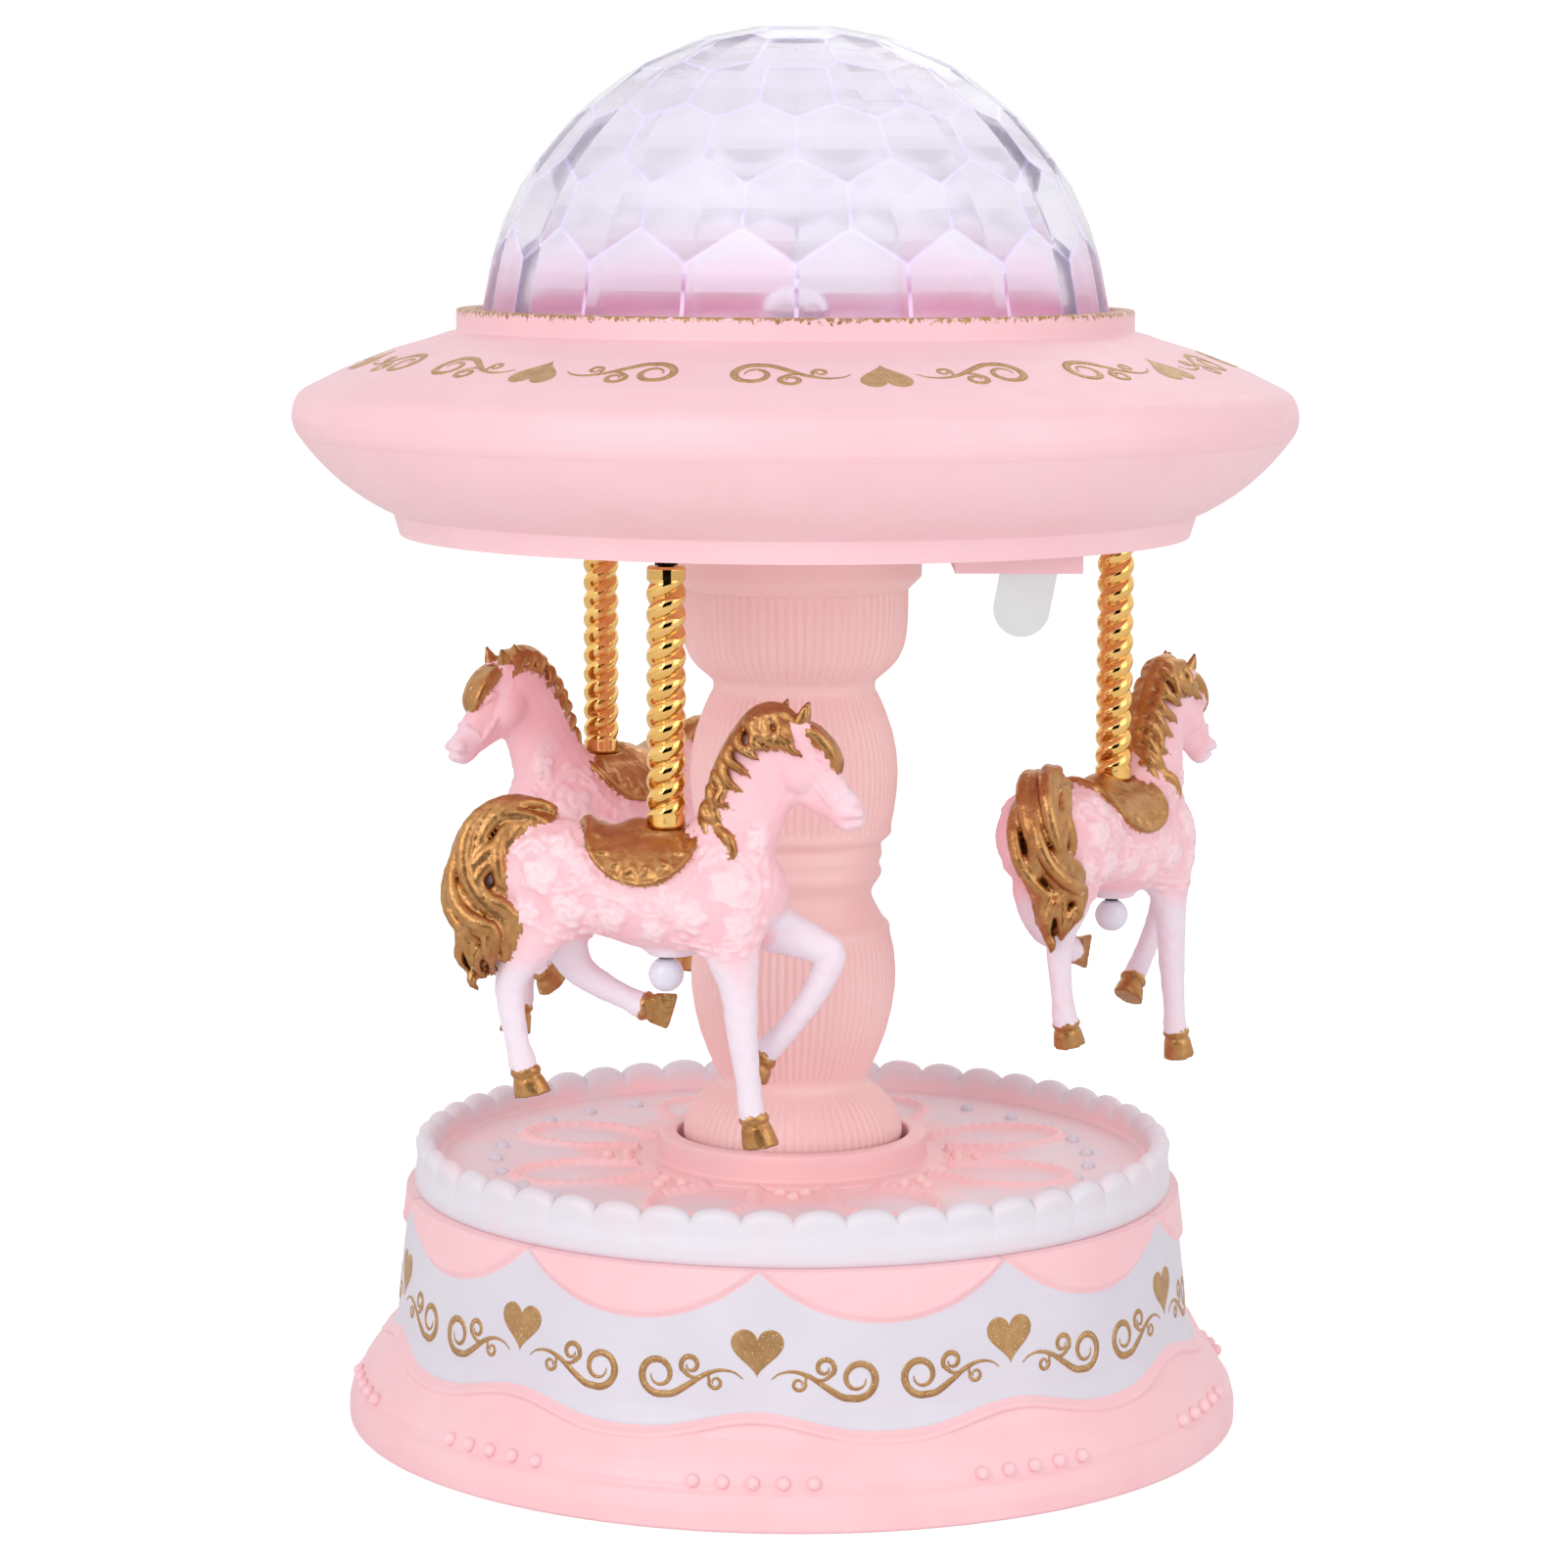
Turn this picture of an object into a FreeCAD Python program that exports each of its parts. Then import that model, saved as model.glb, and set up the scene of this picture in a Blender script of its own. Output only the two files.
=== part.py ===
import FreeCAD, Part
import math
import os

# Carousel music box in millimetres: +Z up, origin under the middle of the base, front at -Y.
# A wound spring movement in the base turns the column, the lit canopy and three horses on poles.

V = FreeCAD.Vector
UP = V(0, 0, 1)
ORIGIN = V(0, 0, 0)
HEX_SIDES = 6

# Clearances
RUN_GAP = 0.05          # radial gap of a shaft in its bearing
SEAT_GAP = 0.05         # end gap between a turning piece and what it runs on
FIT_GAP = 0.1           # gap round a piece that is located by another
SCREW_GAP = 0.04        # radial gap of a screw in its hole
FREE_GAP = 0.6          # gap between moving pieces that never touch

# Base shell
BASE_R = 54.2
BASE_H = 28.2
BASE_WALL = 2.0
SKIRT_EDGE_H = 2.2
SKIRT_H = 9.7
SKIRT_TOP_R = 49.9
SKIRT_BULGE = 0.9
WALL_FOOT_R = 48.8
WALL_FOOT_H = 2.7
WALL_TOP_R = 47.1
SHELF_R = 41.0
SHELF_T = 1.5

# Stage plate
RIM_R = 46.0
RIM_WALL = 2.6
RIM_H = 6.5
SCALLOPS = 48
SCALLOP_DEPTH = 1.7
STAGE_RISE = 2.8
STAGE_T = 1.6
COLLAR_R = 16.5
COLLAR_WALL = 2.4
COLLAR_H = 3.6
LOCATING_RING_H = 2.2
LOCATING_RING_WALL = 1.1

# Base cover and its recess for the key
COVER_LIFT = 0.8
COVER_T = 1.8
COVER_EDGE_GAP = 0.6
RECESS_R = 15.5
RECESS_WALL = 1.5
POST_R = 2.6
POST_SPOTS = [(0, 20.5), (24, -22), (-24, -18)]

# Screws: head radius, head height, shank radius, length under the head
COVER_SCREW = (2.2, 1.0, 1.1, 8.0)
STAGE_SCREW = (1.4, 1.0, 0.8, 3.6)
BED_SCREW = (1.8, 1.0, 0.9, 6.0)
COMB_SCREW = (1.6, 0.9, 0.8, 5.0)
BRACKET_SCREW = (1.5, 0.9, 0.7, 2.2)
COLUMN_SCREW = (3.0, 1.8, 1.4, 7.5)
FLANGE_SCREW = (2.0, 1.0, 1.0, 5.5)
CANOPY_SCREW = (2.0, 1.0, 1.1, 19.6)
BOARD_SCREW = (1.4, 0.8, 0.7, 2.8)
DOOR_SCREW = (1.6, 0.9, 0.8, 3.6)
SLOT_W = 0.4
SLOT_DEPTH = 0.35
COVER_SCREWS = 4
COVER_BOSS_R = 3.0
COVER_SCREW_RING_R = 44.5
STAGE_SCREWS = 3
STAGE_BOSS_R = 2.0
STAGE_SCREW_RING_R = 43.2
STAGE_SCREW_DEG = 60.0
COVER_SCREW_DEG = 45.0

# Winding key and arbor
ARBOR_R = 2.0
ARBOR_SHOULDER_R = 2.8
KEY_SPAN = 20.0
KEY_T = 1.8
KEY_LIFT = 1.5
KEY_ROOF_GAP = 1.5
KEY_HUB_R = 3.2
KEY_WINDOW_R = 1.6

# Bedplate of the movement
BED_DROP = 18.4         # underside of the stage down to the underside of the bedplate
BED_T = 1.6
BED_DISC_R = 24.0
BED_HALF_W = 28.0
BED_REACH = 40.0
BED_EDGE_R = 44.0
BEARING_HALF_W = 2.6
BEARING_CAP = 2.6
BEARING_T = 1.2
END_PLATE_T = 1.0

# Spring barrel with crown teeth, its lid, spring and drive shaft
BARREL_LIFT = 0.4
BARREL_H = 6.0
BARREL_WALL = 1.8
BARREL_FLOOR = 1.0
BARREL_LID_T = 1.2
CROWN_TEETH = 40
CROWN_MODULE = 0.6
CROWN_FACE = 1.6
CROWN_ROOT = 0.75
SPRING_T = 0.4
SPRING_PITCH = 1.4
SPRING_TURNS = 6
SPRING_END_GAP = 0.3
SHAFT_FLATS = 3.0
SHAFT_GRIP = 12.4

# Gear train of the movement
TOOTH_SHARE = 0.4       # tooth thickness as a share of the pitch, the rest is space
TOOTH_SLOPE = math.tan(math.radians(20))
TOOTH_ROOT = 1.25       # depth of a tooth space under the pitch line, in modules
THREAD_ROOT = 1.5       # depth of the worm thread under its pitch line, sunk into the core, in modules
PINION_TEETH = 10
TRAIN_MODULE = 0.35
DRUM_GEAR_TEETH = 30
FAN_PINION_TEETH = 10
GEAR_T = 1.1
WORM_MODULE = 0.4
WORM_WHEEL_TEETH = 24
WORM_WHEEL_T = 1.2
WORM_SHARE = 0.32
WORM_R = 1.6
WORM_TURNS = 3
DRUM_R = 5.0
DRUM_LENGTH = 18.0
DRUM_ARBOR_R = 0.8
FAN_ARBOR_R = 0.6
PIN_R = 0.25
PIN_H = 0.45
PINS_PER_NOTE = 3
PIN_STEP_DEG = 137.5
NOTES = 18
FAN_R = 4.4
FAN_H = 3.0
FAN_BLADE_T = 0.5
FAN_HUB_R = 1.6
FAN_LIFT = 1.0
PIVOT_R = 0.5
PIVOT_H = 0.8
BRACKET_T = 0.8
BRACKET_POST = 2.4

# Comb
COMB_T = 0.8
COMB_LENGTH = 15.0
COMB_TOOTH_LENGTH = 7.4
COMB_SLOT = 0.35
COMB_TIP_GAP = 0.15
COMB_PAD_W = 7.6
COMB_SCREW_INSET = 4.5

# Column: heights of its turned sections from the bottom up, and their widest and narrowest radii
FOOT_H = 9.3
LOWER_BULGE_H = 19.4
NECK_H = 11.0
UPPER_BULGE_H = 18.2
CUP_CURVE_H = 5.5
CUP_H = 5.9
FOOT_EDGE_R = 12.6
FOOT_R = 13.4
LOW_WAIST_R = 8.9
LOWER_BULGE_R = 12.5
NECK_EDGE_R = 11.6
NECK_R = 9.4
NECK_RING_R = 10.7
UPPER_BULGE_R = 12.56
HIGH_WAIST_R = 9.6
CUP_R = 13.7
CUP_BOW = 0.9
FOOT_WIDEST = 1 / 3     # height of the widest place, as a share of the foot
NECK_WAIST = 1 / 3      # height of the narrowest place, as a share of the neck
NECK_TAPER = 1 / 8      # height of the taper under the upper bulge, as a share of the neck
COLUMN_BORE_R = 7.0
COLUMN_HUB_H = 14.4
COLUMN_WEB_T = 4.5
SPIGOT_R = 6.0
SPIGOT_H = 4.6
BUSH_WALL = 2.0
BUSH_FLANGE = 2.0
BUSH_FLANGE_T = 0.6
CLIP_T = 0.8
CLIP_GROOVE = 0.8
CLIP_R = 8.0
FLANGE_R = 15.3
FLANGE_H = 8.1
FLANGE_CHAMFER = 1.1
FLANGE_SPIGOT_H = 5.0
FLANGE_BORE_R = 5.0
FLANGE_SCREWS = 3
FLANGE_SCREW_RING_R = 10.5
FLANGE_SCREW_DEG = 30.0

# Canopy: heights are taken from the underside of its floor
CANOPY_R = 60.0
CANOPY_WALL = 1.8
CANOPY_FLOOR_T = 1.6
LIP_R = 47.3
LIP_DROP = 1.4
LIP_WALL = 1.7
LIP_TOP_R = 48.1
LIP_TOP_H = 1.2
LOWER_BOW = 0.7
SEAM_H = 10.4
SEAM_INSET = 0.8
EQUATOR_H = 12.5
SHOULDER_INSET = 3.0
SHOULDER_H = 16.6
EDGE_BOW_OUT = 0.75
EDGE_BOW_UP = 0.5
CONE_TOP_R = 42.0
CONE_TOP_H = 22.3
CAP_COLLAR_R = 40.4
CAP_COLLAR_H = 25.3
CAP_COLLAR_WALL = 1.2
CAP_LIP_R = 38.1
CAP_LIP_T = 1.5
ROOT_R = 44.5
ROOT_H = 18.0
TONGUE_H = 1.6
CANOPY_SCREWS = 3
CANOPY_SCREW_RING_R = 41.6
CANOPY_SCREW_DEG = 68.5
CANOPY_POST_R = 2.8

# Dome: elevation and number of the facets in each row, every second row turned by half a step
DOME_R = 37.5
DOME_SINK = 0.4
DOME_WALL = 2.2
DOME_FLANGE_T = 1.8
DOME_FLANGE_W = 1.3
FACET_DEPTH = 0.5
FACET_DEG = [11.0, 25.5, 39.5, 52.5, 65.0, 77.5, 90.0]
FACET_COUNTS = [18, 18, 18, 18, 12, 6, 1]
STEEP = 0.9             # upward part of a facet's normal past which it counts as a top facet

# Lamp under the dome
PAN_T = 1.5
PAN_FLANGE_R = 44.0
BOARD_R = 14.0
BOARD_T = 1.2
BOARD_DROP = 2.2
BOARD_SCREWS = 3
BOARD_SCREW_RING_R = 11.0
BOARD_BOSS_R = 2.0
LED_R = 1.2
LED_H = 6.0
LED_RING_R = 1.9
LEDS = 3
LENS_R = 3.9
LENS_H = 6.0
LENS_WALL = 0.7
WIRE_R = 0.5
WIRE_SPACING = 4.0
WIRE_BEND_SHARE = 0.6

# Battery box in the canopy floor, three button cells end to end along Y
CELL_R = 5.8
CELL_T = 5.4
CELLS = 3
BOX_WALL = 1.2
BOX_X = 25.5
BOX_FRONT_Y = -27.4
BOX_DROP = 2.7
CELL_ROOM = 0.3
CONTACT_T = 0.4
CONTACT_GAP = 0.8
DOOR_T = 1.2
DOOR_LUG = 5.6
DOOR_BOSS_R = 2.3

# Pull tab: a thin strip between the front contact and the first cell
TAB_W = 6.5
TAB_T = 0.2
TAB_LEAN_DEG = 10.5
TAB_HANG = 11.4
TAB_GRIP = 3.4
TAB_SLOT_GAP = 0.25
TAB_OFFSET = 1.4

# Light switch beside the battery box
SWITCH_X = -26.0
SWITCH_Y = -14.0
SWITCH_L = 10.0
SWITCH_W = 6.0
SWITCH_H = 5.4
SWITCH_TRAVEL = 3.0
KNOB_L = 2.4
KNOB_W = 2.0
KNOB_DROP = 1.6
KNOB_TOP = 2.4
KNOB_GAP = 0.2

# Poles and horses: angles are turned from +X, seen from above
POLE_RING_R = 39.5
POLE_DEG = [8.5, 128.5, -111.5]
HORSE_HEADING_DEG = [54.0, 215.0, -5.0]
ROD_R = 0.8
ROD_COLLAR_R = 1.3
ROD_COLLAR_H = 2.4
SLEEVE_R = 2.1
SLEEVE_L = 29.6
SLEEVE_RING_R = 2.3
SLEEVE_RING_H = 1.7
NUT_FLATS = 3.3
NUT_H = 1.8
BEAD_R = 2.0
HORSE_DEPTH = 14.6
SADDLE_SEAT_R = 2.7
BELLY_SEAT_R = 1.7
SLEEVE_ROOM = 0.3

# A horse as limbs, each a row of stations:
# forward of the pole, to the left, up from the saddle seat, half depth, half width
TORSO = [(-18.6, 0, -6.2, 1.6, 1.8), (-17.4, 0, -5.9, 4.4, 4.4), (-13.5, 0, -5.7, 6.3, 6.4),
         (-7.0, 0, -6.2, 6.1, 6.4), (0, 0, -7.3, 6.7, 6.9), (6.0, 0, -7.2, 6.4, 6.4),
         (11.0, 0, -6.6, 4.6, 4.6), (13.2, 0, -6.3, 1.8, 1.8)]
NECK = [(5.2, 0, -5.0, 5.6, 4.6), (8.0, 0, 0.6, 4.8, 3.7), (10.0, 0, 5.6, 4.4, 3.2),
        (12.0, 0, 10.0, 3.8, 2.7), (12.9, 0, 12.4, 2.2, 1.8)]
HEAD = [(11.6, 0, 11.2, 2.2, 1.7), (13.6, 0, 9.0, 3.9, 2.6), (16.6, 0, 6.2, 3.2, 2.4),
        (19.4, 0, 3.4, 2.0, 1.7), (21.4, 0, 1.6, 1.8, 1.6), (22.3, 0, 0.9, 0.9, 0.9)]
MANE = [(15.8, 0, 12.6, 0.9, 0.9), (12.2, 0, 12.6, 1.9, 1.9), (8.6, 0, 9.6, 2.2, 2.4),
        (6.2, 0, 5.0, 2.3, 2.4), (4.9, 0, 0.4, 1.6, 1.8)]
FORELOCK = [(16.0, 0, 12.0, 1.0, 1.4), (18.6, 0, 9.9, 1.2, 1.5), (20.8, 0, 7.4, 0.6, 0.8)]
TAIL = [(-15.4, 0, -1.0, 1.6, 1.8), (-18.9, 0, 0.4, 1.9, 2.0), (-22.0, 0, -3.0, 2.5, 2.4),
        (-22.3, 0, -8.2, 2.6, 2.2), (-21.2, 0, -13.2, 2.0, 1.8), (-20.0, 0, -17.0, 0.8, 0.8)]
EAR = [(15.4, 1.5, 11.4, 0.9, 0.7), (16.0, 1.9, 13.0, 0.8, 0.6), (16.4, 2.1, 14.2, 0.3, 0.3)]
HIND_RIGHT = [(-12.6, -2.6, -7.6, 5.0, 3.2), (-15.2, -3.4, -12.4, 3.2, 2.4),
              (-17.2, -3.5, -16.6, 1.8, 1.6), (-17.3, -3.5, -19.6, 1.6, 1.4),
              (-16.6, -3.5, -24.4, 1.3, 1.2), (-15.9, -3.5, -27.4, 1.7, 1.6),
              (-15.1, -3.5, -30.2, 2.0, 1.8)]
HIND_LEFT = [(-12.0, 2.6, -8.0, 4.8, 3.2), (-12.2, 3.4, -13.0, 2.8, 2.2),
             (-10.6, 3.5, -17.0, 1.8, 1.6), (-7.8, 3.5, -19.0, 1.5, 1.4), (-4.4, 3.5, -20.6, 1.3, 1.2),
             (-2.8, 3.5, -21.3, 1.7, 1.6), (-0.8, 3.5, -22.2, 1.8, 1.7)]
FORE_RIGHT = [(7.4, -2.6, -9.6, 4.2, 3.2), (7.8, -3.3, -13.4, 3.0, 2.2), (8.6, -3.3, -18.0, 2.0, 1.7),
              (9.0, -3.3, -23.0, 1.7, 1.5), (9.6, -3.3, -28.6, 1.3, 1.2), (9.9, -3.3, -32.0, 1.6, 1.5),
              (10.5, -3.3, -35.9, 2.0, 1.8)]
FORE_LEFT = [(8.2, 2.6, -8.6, 4.2, 3.2), (12.0, 3.2, -11.6, 3.0, 2.2), (16.0, 3.3, -13.6, 2.0, 1.7),
             (18.4, 3.3, -15.4, 1.7, 1.6), (16.6, 3.3, -19.4, 1.4, 1.3), (14.2, 3.3, -23.0, 1.4, 1.3),
             (11.9, 3.3, -26.4, 1.8, 1.6)]
SECTION_POINTS = 8

# Sizes and heights that follow from the sizes above
SEAM_R = CANOPY_R - SEAM_INSET
SHOULDER_R = CANOPY_R - SHOULDER_INSET
COVER_TOP_Z = COVER_LIFT + COVER_T
STAGE_Z = BASE_H + STAGE_RISE
STAGE_UNDER_Z = STAGE_Z - STAGE_T
BED_Z = STAGE_UNDER_Z - BED_DROP
RECESS_H = BED_Z - RECESS_WALL
BED_TOP_Z = BED_Z + BED_T
BARREL_Z = BED_TOP_Z + BARREL_LIFT
BARREL_TOP_Z = BARREL_Z + BARREL_H
COLUMN_Z = STAGE_Z + BUSH_FLANGE_T
LOW_WAIST_Z = COLUMN_Z + FOOT_H
NECK_Z = LOW_WAIST_Z + LOWER_BULGE_H
NECK_TOP_Z = NECK_Z + NECK_H
HIGH_WAIST_Z = NECK_TOP_Z + UPPER_BULGE_H
CUP_Z = HIGH_WAIST_Z + CUP_CURVE_H
COLUMN_TOP_Z = CUP_Z + CUP_H
FLOOR_Z = COLUMN_TOP_Z + FLANGE_H
FLOOR_TOP_Z = FLOOR_Z + CANOPY_FLOOR_T
LIP_Z = FLOOR_Z - LIP_DROP
SEAM_Z = FLOOR_Z + SEAM_H
CAP_COLLAR_Z = FLOOR_Z + CAP_COLLAR_H
DOME_FLANGE_TOP_Z = CAP_COLLAR_Z - CAP_LIP_T - FIT_GAP
PAN_Z = DOME_FLANGE_TOP_Z - DOME_FLANGE_T
ROOT_Z = FLOOR_Z + ROOT_H
SLEEVE_TOP_Z = FLOOR_Z - ROD_COLLAR_H
SLEEVE_Z = SLEEVE_TOP_Z - SLEEVE_L
HORSE_TOP_Z = SLEEVE_Z - SEAT_GAP
HORSE_BELLY_Z = HORSE_TOP_Z - HORSE_DEPTH
BEAD_Z = HORSE_BELLY_Z - SEAT_GAP - BEAD_R

# Places in the movement
CROWN_R = CROWN_MODULE * CROWN_TEETH / 2
BARREL_R = CROWN_R + CROWN_FACE / 2
PINION_R = CROWN_MODULE * PINION_TEETH / 2
DRUM_Z = BARREL_TOP_Z + CROWN_ROOT + PINION_R
INNER_BEARING_Y = -(BARREL_R + FREE_GAP)
DRUM_Y = INNER_BEARING_Y - BEARING_T - FREE_GAP
DRUM_END_Y = DRUM_Y - DRUM_LENGTH
DRUM_GEAR_R = TRAIN_MODULE * DRUM_GEAR_TEETH / 2
FAN_PINION_R = TRAIN_MODULE * FAN_PINION_TEETH / 2
FAN_ARBOR_X = -(DRUM_GEAR_R + FAN_PINION_R)
END_PLATE_Y = DRUM_END_Y - GEAR_T - FREE_GAP
WORM_WHEEL_Y = END_PLATE_Y - END_PLATE_T - FREE_GAP
WORM_WHEEL_R = WORM_MODULE * WORM_WHEEL_TEETH / 2
WORM_X = FAN_ARBOR_X - WORM_WHEEL_R - WORM_R
WORM_Y = WORM_WHEEL_Y - WORM_WHEEL_T / 2
WORM_LEAD = math.pi * WORM_MODULE
WORM_TOP_Z = DRUM_Z + WORM_LEAD * (WORM_TURNS + 1) / 2
FAN_Z = BED_TOP_Z + FAN_LIFT
COMB_X = DRUM_R + PIN_H + COMB_TIP_GAP
COMB_Z = DRUM_Z - COMB_T / 2
COMB_PAD_X = COMB_X + COMB_LENGTH - COMB_PAD_W


def polar(radius, degrees, z=0.0):
    """A point on a circle about the Z axis."""
    angle = math.radians(degrees)
    return V(radius * math.cos(angle), radius * math.sin(angle), z)


def disc(radius, z0, z1, spot=ORIGIN):
    """An upright cylinder between two heights."""
    return Part.makeCylinder(radius, z1 - z0, V(spot.x, spot.y, z0), UP)


def tube(outer, inner, z0, z1, spot=ORIGIN):
    """An upright tube between two heights."""
    return disc(outer, z0, z1, spot).cut(disc(inner, z0, z1, spot))


def block(x0, x1, y0, y1, z0, z1):
    """A box between two corners."""
    return Part.makeBox(x1 - x0, y1 - y0, z1 - z0, V(x0, y0, z0))


def rod_y(radius, y0, y1, x, z):
    """A cylinder along Y between two places."""
    return Part.makeCylinder(radius, y1 - y0, V(x, y0, z), V(0, 1, 0))


def hexagon(flats, z0, z1, spot=ORIGIN):
    """An upright hexagonal bar, given across its flats."""
    corner = flats / math.sqrt(3)
    points = [spot + polar(corner, 360 / HEX_SIDES * i, z0) for i in range(HEX_SIDES + 1)]
    return Part.Face(Part.makePolygon(points)).extrude(V(0, 0, z1 - z0))


def revolve(start, steps):
    """A solid turned about Z from an outline: a step is a point, or a pair for an arc through the first."""
    edges = []
    at = V(start[0], 0, start[1])
    for step in list(steps) + [start]:
        if isinstance(step[0], tuple):
            middle = V(step[0][0], 0, step[0][1])
            end = V(step[1][0], 0, step[1][1])
            edges.append(Part.Arc(at, middle, end).toShape())
        else:
            end = V(step[0], 0, step[1])
            edges.append(Part.LineSegment(at, end).toShape())
        at = end
    return Part.Face(Part.Wire(edges)).revolve(ORIGIN, UP, 360)


def ring_spots(count, radius, first_deg=0.0):
    """Evenly spaced points on a circle."""
    return [polar(radius, first_deg + 360 / count * i) for i in range(count)]


def screws(size, spots, z_seat, up):
    """Slotted screws on a seat: the shank points up or down from it, the head is on the other side."""
    head_r, head_h, shank_r, length = size
    made = []
    for spot in spots:
        if up:
            head = disc(head_r, z_seat - head_h, z_seat, spot)
            shank = disc(shank_r, z_seat, z_seat + length, spot)
            slot_z = z_seat - head_h
        else:
            head = disc(head_r, z_seat, z_seat + head_h, spot)
            shank = disc(shank_r, z_seat - length, z_seat, spot)
            slot_z = z_seat + head_h - SLOT_DEPTH
        slot = block(spot.x - head_r, spot.x + head_r, spot.y - SLOT_W / 2, spot.y + SLOT_W / 2,
                     slot_z, slot_z + SLOT_DEPTH)
        made.append(head.fuse(shank).cut(slot))
    return Part.makeCompound(made)


def holes(size, spots, z0, z1, extra=0.0):
    """Holes for the shanks of such screws."""
    return [disc(size[2] + SCREW_GAP + extra, z0, z1, spot) for spot in spots]


def tooth_outline(module, share, root, tip):
    """Half of a tooth as (height over the pitch line, half thickness), from root to tip."""
    half = share * math.pi * module / 2
    return [(-root, half), (0.0, half), (tip, half - tip * TOOTH_SLOPE)]


def gear(teeth, module, length, first_deg=0.0, share=TOOTH_SHARE):
    """A spur gear about Z, with a tooth centred on the first angle."""
    pitch_r = module * teeth / 2
    half = tooth_outline(module, share, TOOTH_ROOT * module, module)
    points = []
    for i in range(teeth):
        middle = math.radians(first_deg + 360 / teeth * i)
        for height, width in half:
            angle = middle - width / (pitch_r + height)
            points.append(polar(pitch_r + height, math.degrees(angle)))
        for height, width in reversed(half):
            angle = middle + width / (pitch_r + height)
            points.append(polar(pitch_r + height, math.degrees(angle)))
    return Part.Face(Part.makePolygon(points + points[:1])).extrude(V(0, 0, length))


def lay_along_y(shape, x, y0, z):
    """Lay a piece made about Z along Y: its X becomes X, its Y becomes -Z and its Z becomes Y."""
    laid = shape.copy()
    laid.rotate(ORIGIN, V(1, 0, 0), -90)
    laid.translate(V(x, y0, z))
    return laid


def base_shell():
    outer_low = WALL_FOOT_R
    inner_top = WALL_TOP_R - BASE_WALL
    skirt_middle = ((BASE_R + SKIRT_TOP_R) / 2 + SKIRT_BULGE, (SKIRT_EDGE_H + SKIRT_H) / 2 + SKIRT_BULGE)
    shell = revolve((BASE_R, 0), [
        (BASE_R, SKIRT_EDGE_H),
        (skirt_middle, (SKIRT_TOP_R, SKIRT_H)),
        (outer_low, SKIRT_H + WALL_FOOT_H),
        (WALL_TOP_R, BASE_H),
        (SHELF_R, BASE_H),
        (SHELF_R, BASE_H - SHELF_T),
        (inner_top, BASE_H - SHELF_T),
        (outer_low - BASE_WALL, SKIRT_H + WALL_FOOT_H),
        (SKIRT_TOP_R - BASE_WALL, SKIRT_H - SKIRT_BULGE),
        (BASE_R - BASE_WALL, SKIRT_EDGE_H),
        (BASE_R - BASE_WALL, 0)])
    spots = ring_spots(COVER_SCREWS, COVER_SCREW_RING_R, COVER_SCREW_DEG)
    bosses = [disc(COVER_BOSS_R, COVER_TOP_Z, BASE_H - SHELF_T / 2, spot) for spot in spots]
    shell = shell.fuse(bosses)
    cuts = holes(COVER_SCREW, spots, COVER_TOP_Z, COVER_TOP_Z + COVER_SCREW[3])
    stage_spots = ring_spots(STAGE_SCREWS, STAGE_SCREW_RING_R, STAGE_SCREW_DEG)
    cuts += holes(STAGE_SCREW, stage_spots, BASE_H - SHELF_T, BASE_H)
    return shell.cut(cuts)


def stage_plate():
    rim_in = RIM_R - RIM_WALL
    ring_out = SHELF_R - FIT_GAP
    ring_in = ring_out - LOCATING_RING_WALL
    collar_in = COLLAR_R - COLLAR_WALL
    bore = SPIGOT_R + RUN_GAP + BUSH_WALL + SCREW_GAP
    notch_z = BASE_H + RIM_H - SCALLOP_DEPTH
    plate = revolve((bore, STAGE_UNDER_Z), [
        (ring_in, STAGE_UNDER_Z),
        (ring_in, STAGE_UNDER_Z - LOCATING_RING_H),
        (ring_out, STAGE_UNDER_Z - LOCATING_RING_H),
        (ring_out, STAGE_UNDER_Z),
        (rim_in, STAGE_UNDER_Z),
        (rim_in, BASE_H),
        (RIM_R, BASE_H),
        (RIM_R, notch_z),
        (rim_in, notch_z),
        (rim_in, STAGE_Z),
        (COLLAR_R, STAGE_Z),
        (COLLAR_R, STAGE_Z + COLLAR_H),
        (collar_in, STAGE_Z + COLLAR_H),
        (collar_in, STAGE_Z),
        (bore, STAGE_Z)])
    # One scallop is a round crest cut from a wedge of the rim, and is copied round
    half_deg = 180 / SCALLOPS
    half_chord = RIM_R * math.sin(math.radians(half_deg))
    crest_r = (half_chord ** 2 + SCALLOP_DEPTH ** 2) / (2 * SCALLOP_DEPTH)
    crest_z = BASE_H + RIM_H - crest_r
    wedge = Part.makeCylinder(RIM_R, SCALLOP_DEPTH, V(0, 0, notch_z), UP, 2 * half_deg)
    wedge.rotate(ORIGIN, UP, -half_deg)
    wedge = wedge.cut(disc(rim_in, notch_z, notch_z + SCALLOP_DEPTH))
    crest = wedge.common(Part.makeCylinder(crest_r, 2 * RIM_R, V(0, 0, crest_z), V(1, 0, 0)))
    crests = []
    for i in range(SCALLOPS):
        copy = crest.copy()
        copy.rotate(ORIGIN, UP, 2 * half_deg * i)
        crests.append(copy)
    spots = ring_spots(STAGE_SCREWS, STAGE_SCREW_RING_R, STAGE_SCREW_DEG)
    bosses = [disc(STAGE_BOSS_R, BASE_H, STAGE_UNDER_Z, spot) for spot in spots]
    plate = plate.fuse(bosses + crests).removeSplitter()
    depth = BASE_H - SHELF_T + STAGE_SCREW[3]
    return plate.cut(holes(STAGE_SCREW, spots, BASE_H, depth))


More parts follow.
